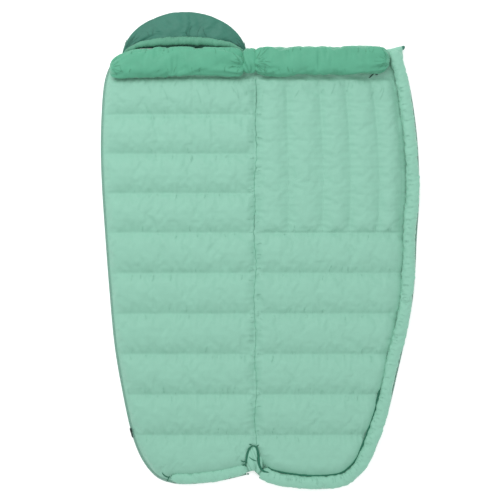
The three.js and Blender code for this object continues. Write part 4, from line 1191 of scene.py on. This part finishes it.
cord_path = rim_grid.mean(axis=1)[4:-4]
hood_cord = roll_piece("hood_cord", round_tube(cord_path, 0.0013), cord_braid, "dark_cord", flip=False)
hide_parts("hood_drawcord")

# %% [markdown]
# ## Zip
# A coil zip runs down both sides and round the foot. The coil is a bar whose width swells and
# narrows with each turn of its wire, and the tape is a thin woven strip sewn under the lining's edge.

# %% Zip coils and tapes
COIL_PITCH = 0.0026


def coil_along(line, side, low, high):
    """A corrugated bar along the edge: its half width swings by a tenth with every turn of the coil."""
    line = evenly(line, COIL_PITCH / 2)
    swing = 1 + 0.16 * np.where(np.arange(len(line)) % 2, 1, -1)[:, None]
    angle = np.linspace(0, 2 * np.pi, 6, endpoint=False)[None, :]
    half = (high - low) / 2
    out = 0.002 + 0.002 * np.cos(angle) * swing
    tangent = np.gradient(line, axis=0)
    tangent /= np.linalg.norm(tangent, axis=1, keepdims=True)
    inwards = side * np.stack([-tangent[:, 1], tangent[:, 0]], axis=1)
    plan = line[:, None] + inwards[:, None] * out[:, :, None]
    return np.dstack([plan, (low + high) / 2 + half * np.sin(angle) * swing * 0.86])


def tape_along(line, side, insets, heights):
    """A closed strip along the edge between two insets and two heights."""
    line = evenly(line, 0.012)
    corners = [(insets[0], heights[0]), (insets[1], heights[0]), (insets[1], heights[1]), (insets[0], heights[1])]
    columns = [np.column_stack([moved_in(line, side, inset), np.full(len(line), z)]) for inset, z in corners]
    return np.stack(columns, axis=1)


def part_of(line, low, high):
    """The part of a line between two shares of its length."""
    shares = lengths_along(line) / lengths_along(line)[-1]
    return line[(shares >= low) & (shares <= high)]


zips = {}
for panel, low, high in ((back, 0.0145, 0.965), (front, 0.0125, 0.935)):
    run = part_of(panel.edge, low, high)
    coil_low, coil_high = box(f"zip_coil_{panel.name}")[:, 2]
    coil_grid = coil_along(run, panel.side, coil_low, coil_high)
    coil = roll_piece(f"{panel.name}_coil", coil_grid, coil_nylon, "zip_coil", grid_turns(coil_grid))
    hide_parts(f"zip_coil_{panel.name}")
    tape_grid = tape_along(run, panel.side, (0.0043, 0.0163), box(f"zip_tape_{panel.name}")[:, 2])
    tape = roll_piece(f"{panel.name}_tape", tape_grid, tape_weave, "zip_tape", grid_turns(tape_grid))
    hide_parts(f"zip_tape_{panel.name}")
    zips[panel.name] = [coil, tape]


def end_fitting(name, node_name):
    """A small moulded block with rounded corners that fills a zip end fitting's box."""
    low, high = box(node_name)
    turn = np.linspace(0, 2 * np.pi, 24, endpoint=False)
    middle, half = (low + high)[:2] / 2, (high - low)[:2] / 2
    circle = np.stack([np.cos(turn), np.sin(turn)], 1)
    outline = middle + np.sign(circle) * np.sqrt(np.abs(circle)) * half
    grid = pillow(outline, middle, (low[2], high[2], (low[2] + high[2]) / 2), rings=6)
    piece = roll_piece(name, grid, fitting_plastic, "dark_plastic", grid_turns(grid))
    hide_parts(node_name)
    return piece


zip_pin = end_fitting("zip_end_pin", "zip_pin")
zip_box_piece = end_fitting("zip_end_box", "zip_box")

# %% [markdown]
# ## Moulded pieces and the cord
# The slider, its pull and the cord lock keep the model's own shapes, with a small bevel and a
# moulded finish. The cord's tail that comes out under the right collar is a round braid.

# %% Moulded pieces
def finish(node_name, material, bevel=0.0):
    """A model node keeps its shape, with its edges eased and a better finish."""
    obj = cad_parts[node_name]
    obj.data.materials.clear()
    obj.data.materials.append(material)
    if bevel:
        modifier = obj.modifiers.new("eased", "BEVEL")
        modifier.width, modifier.segments = bevel, 2
        modifier.limit_method = "ANGLE"


for node_name in ("zip_slider", "zip_pull", "cord_lock_body", "cord_lock_plunger"):
    finish(node_name, dark_plastic, 0.0003)
finish("collar_drawcord", cord_braid)

# %% Lock spring
SPRING_TURNS, WIRE = 3.5, 0.00025
spring_low, spring_high = box("cord_lock_spring")
spring_mid = (spring_low + spring_high) / 2
spring_share = np.linspace(0, 1, 120)[:, None]
spring_turn = 2 * np.pi * SPRING_TURNS * spring_share
spring_radius = (spring_high - spring_low)[0] / 2 - WIRE
outwards = np.hstack([np.cos(spring_turn), 0 * spring_turn, np.sin(spring_turn)])
spring_line = spring_mid + spring_radius * outwards
spring_line[:, 1] = (spring_low[1] + WIRE + (spring_high[1] - spring_low[1] - 2 * WIRE) * spring_share)[:, 0]
wire_turn = np.linspace(0, 2 * np.pi, 8, endpoint=False)[None, :, None]
spring_grid = spring_line[:, None] + WIRE * (outwards[:, None] * np.cos(wire_turn) + np.array([0, 1, 0]) * np.sin(wire_turn))
lock_spring = roll_piece("lock_spring", spring_grid, spring_steel, "spring_steel", grid_turns(spring_grid))
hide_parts("cord_lock_spring")

# %% Cord tail
LOCK = (box("cord_lock_body")[0] + box("cord_lock_body")[1]) / 2
CORD_RADIUS = 0.002
TAIL = np.array([[-0.0003, 0, 0], [-0.008, 0, 0], [-0.018, -0.008, 0], [-0.030, -0.020, 0]]) + LOCK
tail_path = evenly(spline(TAIL), 0.0015)
tail = roll_piece("cord_tail", round_tube(tail_path, CORD_RADIUS, 12), cord_braid, "dark_cord", flip=False)
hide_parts("collar_cord_tail")

# %% Corner tab
tab_low, tab_high = box("corner_tab")
tab_turn = np.linspace(0, 2 * np.pi, 40, endpoint=False)
tab_mid = np.array([tab_high[0] + 0.009, tab_high[1] - 0.006])
tab_outline = tab_mid + np.stack([0.012 * np.cos(tab_turn), 0.010 * np.sin(tab_turn) + 0.004 * np.cos(tab_turn)], 1)
tab_grid = pillow(tab_outline, tab_mid, (0.010, 0.030, 0.018), rings=8)
corner_tab = roll_piece("corner_nub", tab_grid, hood_cloth, "shell_cloth", grid_turns(tab_grid))
smoothed(corner_tab)
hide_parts("corner_tab")

# %% Corner flap
flap_at = np.array([tab_high[0], tab_high[1]])
flap_stops = flap_at + np.array([
    [-0.060, -0.012], [-0.030, -0.006], [-0.006, 0.001], [0.010, 0.002], [0.014, -0.006], [0.010, -0.022],
    [0.012, -0.052], [-0.020, -0.066], [-0.056, -0.056], [-0.068, -0.032], [-0.060, -0.012],
])
flap_outline = evenly(spline(flap_stops), 0.006)[:-1]
flap_grid = pillow(flap_outline, flap_at + (-0.020, -0.028), (0.010, 0.040, 0.016), rings=8)
corner_flap = roll_piece("corner_flap", flap_grid, tube_cloth, "lining_cloth", grid_turns(flap_grid))
smoothed(corner_flap)

# %% [markdown]
# ## Creases
# Where cloth is bunched hard, its folds meet in deep creases that no light reaches. Their shade is
# painted: each is a thin tapered strip of dark cloth laid in the fold, at the height of the lining
# there. A paler one runs down the centre seam, where the two linings are sewn together.

# %% Creases
LININGS_CLOUD = np.vstack([back.surface.reshape(-1, 3), front.surface.reshape(-1, 3)])


def height_at(points, cloud=LININGS_CLOUD):
    """Height of the nearest point of a surface to each (x, y)."""
    nearest = [np.argmin(((cloud[:, :2] - point) ** 2).sum(axis=1)) for point in points]
    return cloud[nearest, 2]


def upper_half(obj):
    """The points of a roll or pillow that face up."""
    points = points_of(obj)
    return points[points[:, 2] > (points[:, 2].min() + points[:, 2].max()) / 2]


def fine_creases(name, lines, cloud, material, slot, half_width=0.0008, lift=0.0004):
    """Short creases on a surface as one piece, drawn as painted shade in a darker copy of its cloth.
    Each line is its two ends (x, y) and how far its middle bows to one side; its ends taper to a point."""
    grids = []
    for k, (start, end, bow) in enumerate(lines):
        start, end = np.array(start), np.array(end)
        across = np.array([start[1] - end[1], end[0] - start[0]])
        share = np.linspace(0, 1, 7)
        plan = start + (end - start) * share[:, None] + across * bow * (4 * share * (1 - share))[:, None]
        widths = half_width * (0.1 + (4 * share * (1 - share)) ** 0.6) * (0.7 + 0.6 * (k * 0.618 % 1))
        grids.append(strip_grid(np.column_stack([plan, height_at(plan, cloud) + lift]), widths, 0.0006))
    return rolls_piece(name, grids, material, slot, [grid_turns(grid) for grid in grids])


def fan(middle, turns, lengths, start, seed):
    """Lines that fan out from a middle: between two angles in degrees, of lengths drawn from a range."""
    draw = np.random.default_rng(seed)
    lines = []
    for turn in np.radians(np.asarray(turns) + draw.uniform(-6, 6, len(turns))):
        ray = np.array([np.cos(turn), np.sin(turn)])
        first = np.asarray(middle) + ray * start * draw.uniform(0.7, 1.4)
        lines.append((first, first + ray * draw.uniform(*lengths), draw.uniform(-0.12, 0.12)))
    return lines


FOOT_CLOUD = np.vstack([
    LININGS_CLOUD, *(upper_half(piece) for piece in (foot_knob_left, foot_knob_right, foot_hem, draft_tube)),
])


def top_at(points, cloud, reach=0.006):
    """Height of the highest point of some surfaces within reach of each (x, y)."""
    near = [((cloud[:, :2] - point) ** 2).sum(axis=1) < reach**2 for point in points]
    heights = [cloud[mask, 2].max() if mask.any() else 0.012 for mask in near]
    return np.convolve(np.pad(heights, 1, "edge"), [0.25, 0.5, 0.25], "valid")


def crease(name, stops, half_width, lift=0.0):
    """Painted crease shade through a few (x, y) stops, as wide as given in its middle and fading at its ends."""
    plan = evenly(spline(np.array(stops, float)), 0.004)
    share = np.linspace(0, 1, len(plan))
    widths = half_width * (0.12 + np.sqrt(4 * share * (1 - share)))
    path = np.column_stack([plan, top_at(plan, FOOT_CLOUD) + lift])
    return strip_along(path, widths, shadow_cloth, "lining_cloth", name)


KNOT_X, KNOT_Y = box("foot_gather_left")[1, 0], box("foot_gather_left")[0, 1]
APEX = (KNOT_X - 0.009, KNOT_Y + 0.114)
knot_creases_back = [
    crease("knot_crease_1", [
        APEX, (KNOT_X - 0.024, KNOT_Y + 0.100), (KNOT_X - 0.032, KNOT_Y + 0.076),
        (KNOT_X - 0.036, KNOT_Y + 0.050), (KNOT_X - 0.038, KNOT_Y + 0.032),
    ], 0.0040),
    crease("knot_crease_2", [APEX, (KNOT_X - 0.024, KNOT_Y + 0.120)], 0.0018),
    crease("knot_crease_3", [
        (KNOT_X - 0.036, KNOT_Y + 0.050), (KNOT_X - 0.048, KNOT_Y + 0.046), (KNOT_X - 0.058, KNOT_Y + 0.052),
    ], 0.0018),
    crease("knot_crease_4", [(KNOT_X - 0.037, KNOT_Y + 0.036), (KNOT_X - 0.052, KNOT_Y + 0.030)], 0.0018),
]
knot_creases_front = [
    crease("knot_crease_5", [
        APEX, (KNOT_X + 0.007, KNOT_Y + 0.106), (KNOT_X + 0.014, KNOT_Y + 0.078), (KNOT_X + 0.017, KNOT_Y + 0.042),
        (KNOT_X + 0.025, KNOT_Y + 0.020), (KNOT_X + 0.038, KNOT_Y + 0.009), (KNOT_X + 0.058, KNOT_Y + 0.005),
    ], 0.0048),
    crease("knot_crease_6", [(KNOT_X + 0.004, KNOT_Y + 0.108), (KNOT_X + 0.018, KNOT_Y + 0.118)], 0.0016),
    crease("knot_crease_7", [
        (KNOT_X - 0.024, KNOT_Y + 0.070), (KNOT_X - 0.008, KNOT_Y + 0.058), (KNOT_X + 0.010, KNOT_Y + 0.052),
    ], 0.0016),
]
HEM_END = box("foot_hem_casing")[0, :2]
hem_creases = [
    crease("hem_crease_1", [HEM_END + (-0.050, 0.047), HEM_END + (-0.036, 0.030), HEM_END + (-0.018, 0.022)], 0.0022),
    crease("hem_crease_2", [HEM_END + (-0.018, 0.030), HEM_END + (-0.026, 0.016), HEM_END + (-0.032, 0.004)], 0.0018),
]
seam_cloth = nylon("seam_cloth", (108, 170, 145), shade=0.9)
seam_y = np.linspace(KNOT_Y + 0.118, SEAMS[-1], 260)
seam_path = np.stack([CENTRE + seam_wander(seam_y), seam_y, np.interp(seam_y, back.surface[:, 0, 1], back.surface[:, 0, 2])], 1)
seam_path[:, 2] += 0.0006
centre_seam = strip_along(
    seam_path, 0.0011 * (1 + 0.45 * ripples(seam_y, 0 * seam_y, 0.03, 35)), seam_cloth, "lining_cloth", "centre_seam",
)

# A strip of dark cloth along the draft tube's inner edge is painted shade of the crease between tube and lining, widest
# at the foot.
crease_end = np.argmax((front_line[:, 1] > -0.30) & (front_line[:, 0] > 0))
tube_crease_line = moved_in(evenly(front_line[tube_start + 6:crease_end], 0.008), 1, 0.0600)
foot_share = np.clip((-0.30 - tube_crease_line[:, 1]) / 0.35, 0, 1)
tube_crease = strip_along(
    np.column_stack([tube_crease_line, 0.022 + 0.009 * foot_share]), 0.0008 + 0.0038 * foot_share,
    shadow_cloth, "lining_cloth", "tube_crease",
)

# %% Fine creases
# Darker copies of the collar, hood and lining nylon: the fine creases are drawn in them as painted shade.
collar_shade = nylon("collar_shade", (73, 148, 117), shade=0.95)
hood_shade = nylon("hood_shade", (46, 104, 88), shade=0.95)
lining_shade = nylon("lining_shade", (129, 184, 163), shade=0.97)
TOP = BACK_Y - 0.004
left_fans = fan((left_box[1, 0] + 0.006, FRONT_Y + 0.055), np.linspace(125, 235, 9), (0.022, 0.075), 0.010, 201)
left_fans += fan((left_box[0, 0] - 0.006, FRONT_Y + 0.040), np.linspace(-50, 60, 5), (0.015, 0.045), 0.010, 202)
right_fans = fan((right_box[0, 0] - 0.004, FRONT_Y + 0.060), np.linspace(-62, 62, 9), (0.022, 0.070), 0.012, 203)
right_fans += fan((right_box[1, 0] + 0.014, FRONT_Y + 0.066), np.linspace(120, 240, 8), (0.020, 0.070), 0.012, 204)
draw = np.random.default_rng(205)
for lines, low, high in ((left_fans, left_box[0, 0], left_box[1, 0]), (right_fans, right_box[0, 0], right_box[1, 0])):
    for x in draw.uniform(low + 0.03, high - 0.03, 10):
        slide = draw.uniform(-0.012, 0.012)
        lines.append(((x, TOP - 0.004), (x + slide, TOP - draw.uniform(0.016, 0.034)), 0.1))
    for x in draw.uniform(low + 0.03, high - 0.03, 10):
        slide = draw.uniform(-0.014, 0.014)
        lines.append(((x, FRONT_Y + 0.016), (x + slide, FRONT_Y + draw.uniform(0.026, 0.046)), 0.1))
collar_creases = [
    fine_creases(f"collar_creases_{word}", lines, upper_half(collars[word][0]), collar_shade, "collar_cloth", 0.0011)
    for word, lines in (("left", left_fans), ("right", right_fans))
]
hood_lines = fan((HOOD_X - HOOD_HALF + 0.004, HOOD_FOOT - 0.012), np.linspace(18, 74, 8), (0.030, 0.105), 0.022, 206)
hood_lines += fan((HOOD_X + HOOD_HALF - 0.004, HOOD_FOOT - 0.012), np.linspace(106, 162, 8), (0.030, 0.105), 0.022, 207)
for x in draw.uniform(HOOD_X - 0.16, HOOD_X + 0.16, 6):
    y = HOOD_FOOT + 0.050
    hood_lines.append(((x, y), (x + draw.uniform(-0.02, 0.02), y + draw.uniform(0.02, 0.05)), 0.08))


def within_hood(point, margin=0.009):
    """True if a point is inside the half-moon by a margin."""
    share = np.clip(np.abs(point[0] - HOOD_X) / HOOD_HALF, 0, 1) ** (1 / HOOD_POWER)
    return point[1] < HOOD_FOOT + (HOOD_CROWN - HOOD_FOOT) * (1 - share**2) ** (HOOD_POWER / 2) - margin


def trimmed(line):
    """A crease cut short, three quarters at a time, until it ends within the hood."""
    start, end = (np.asarray(point) for point in line[:2])
    while np.linalg.norm(end - start) > 0.008 and not within_hood(end):
        end = start + (end - start) * 0.75
    return start, end, line[2]


hood_lines = [trimmed(line) for line in hood_lines if within_hood(line[0])]
hood_creases = fine_creases("hood_creases", hood_lines, upper_half(hood), hood_shade, "hood_cloth", 0.0010)


def seam_puckers(panel, seed):
    """Short creases that leave each stitched line of a panel to either side, and longer slanting
    ones where the chamber meets the collar."""
    draw = np.random.default_rng(seed)
    far = panel.side * (panel.width - 0.11)
    seams = SEAMS if panel is back else [*SEAMS[:6], SEAMS[-1]]
    lines = []
    for seam in seams:
        for x in CENTRE + far * draw.uniform(0.02, 1, 9):
            way = draw.choice([-1, 1]) if seam < SEAMS[-1] else -1
            reach = way * draw.uniform(0.010, 0.034)
            lines.append(((x, seam + way * 0.003), (x + draw.uniform(-0.010, 0.010), seam + reach), 0.1))
    for y in draw.uniform(SEAMS[0], SEAMS[-1], 34):
        x = CENTRE + panel.side * draw.uniform(0.004, 0.008)
        lines.append(((x, y), (x + panel.side * draw.uniform(0.008, 0.026), y + draw.uniform(-0.008, 0.008)), 0.15))
    for x in CENTRE + far * draw.uniform(0.05, 1, 9):
        y = SEAMS[-1] - draw.uniform(0.006, 0.05)
        lines.append(((x, y), (x - panel.side * draw.uniform(0.01, 0.03), y - draw.uniform(0.03, 0.07)), 0.06))
    return lines


lining_creases = {
    panel.name: fine_creases(
        f"{panel.name}_lining_creases", seam_puckers(panel, seed), LININGS_CLOUD, lining_shade, "lining_cloth", 0.0007,
    )
    for panel, seed in ((back, 208), (front, 209))
}
tube_lines = []
ruffle_line = evenly(front_line[tube_start + 10:tube_end - 10], 0.004)
for k in np.sort(draw.choice(len(ruffle_line) - 2, 110, replace=False)):
    inner, outer = (moved_in(ruffle_line[k:k + 3], 1, inset)[1] for inset in draw.uniform((0.050, 0.026), (0.056, 0.042)))
    tube_lines.append((inner, outer, 0.1))
tube_creases = fine_creases("tube_creases", tube_lines, upper_half(draft_tube), lining_shade, "lining_cloth", 0.0008)

# %% [markdown]
# ## Stitching
# Every seam is a row of stitches in green thread. A stitch is a tiny six-sided block, and one array
# holds all the stitches of a panel.

# %% Stitches
STITCH, STITCH_PITCH = 0.0032, 0.0048


def stitches(name, lines):
    """Blocks along the lines: each is a stitch long and half a millimetre thick, lying on the seam."""
    starts = [evenly(line, STITCH_PITCH) for line in lines]
    at = np.vstack([line[:-1] for line in starts])
    step = np.vstack([np.diff(line, axis=0) for line in starts])
    step /= np.linalg.norm(step, axis=1, keepdims=True)
    side = np.cross(step, [0, 0, 1.0])
    side /= np.linalg.norm(side, axis=1, keepdims=True)
    up = np.cross(side, step)
    corners = [(k, a, b) for k in (0, 1) for a, b in ((-1, -1), (1, -1), (1, 1), (-1, 1))]
    thick = 0.0004
    points = np.stack([
        at + step * STITCH * k + side * thick * a + up * (thick * b + 0.0006) for k, a, b in corners
    ], axis=1)
    block = np.array([[0, 1, 2, 3], [7, 6, 5, 4], [0, 4, 5, 1], [1, 5, 6, 2], [2, 6, 7, 3], [3, 7, 4, 0]])
    faces = (block[None] + 8 * np.arange(len(at))[:, None, None]).reshape(-1, 4)
    return put(name, points.reshape(-1, 3), faces[:, ::-1], thread_cotton, "lining_cloth")


def seam_lines(panel):
    """The panel's seams as lines of points on its lining."""
    last = COLUMNS - (2 if panel is back else 9)
    seams = SEAM_ROWS if panel is back else [*SEAM_ROWS[:6], COLLAR_ROW]
    lines = [panel.surface[row, 1:last] for row in seams]
    if panel is front:
        _, stops = column_shares(panel)
        lines += [panel.surface[CHEST_ROW:COLLAR_ROW, stop] for stop in stops[1:-1]]
    return lines


for panel in (back, front):
    panel.stitches = stitches(f"{panel.name}_stitches", seam_lines(panel))
print("stitches done")

# %% [markdown]
# ## What moves with what
# The front panel folds over the back panel about a line above the centre seam, and the hood turns
# up at its own base. Pieces across these folds keep their place in the world and ride on no body.
# The back panel's other pieces ride on its body, and the cord tail, tab, flap and lock spring on the
# front panel's.


def across_fold(*pieces):
    """Pieces that lie across the fold beside the centre seam: only their placement is baked in."""
    for piece in pieces:
        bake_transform(piece)


def across_neck(*pieces):
    """Pieces that lie across the hood's base: only their placement is baked in."""
    for piece in pieces:
        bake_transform(piece)


across_fold(
    linings["right"], front.shell_piece, front.walls, front.stitches, draft_tube, tube_filling,
    *collars["right"], foot_knob_right, *knot_creases_front, tube_crease, tube_creases, collar_creases[1],
    lining_creases["right"], *zips["right"], zip_pin, *downs["right"],
)
across_neck(hood, hood_filling, hood_pocket, hood_rim, hood_mouth_shadow, hood_creases, hood_cord)
for piece in (
    linings["left"], back.shell_piece, back.walls, back.stitches, foot_hem, hem_filling,
    *collars["left"], collar_knob, foot_knob_left, *knot_creases_back, *hem_creases, centre_seam,
    collar_creases[0], lining_creases["left"],
    *zips["left"], zip_box_piece, *downs["left"],
):
    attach(piece, "back_panel")
for piece in (tail, corner_tab, corner_flap, lock_spring):
    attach(piece, "front_panel")
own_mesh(lock_spring)
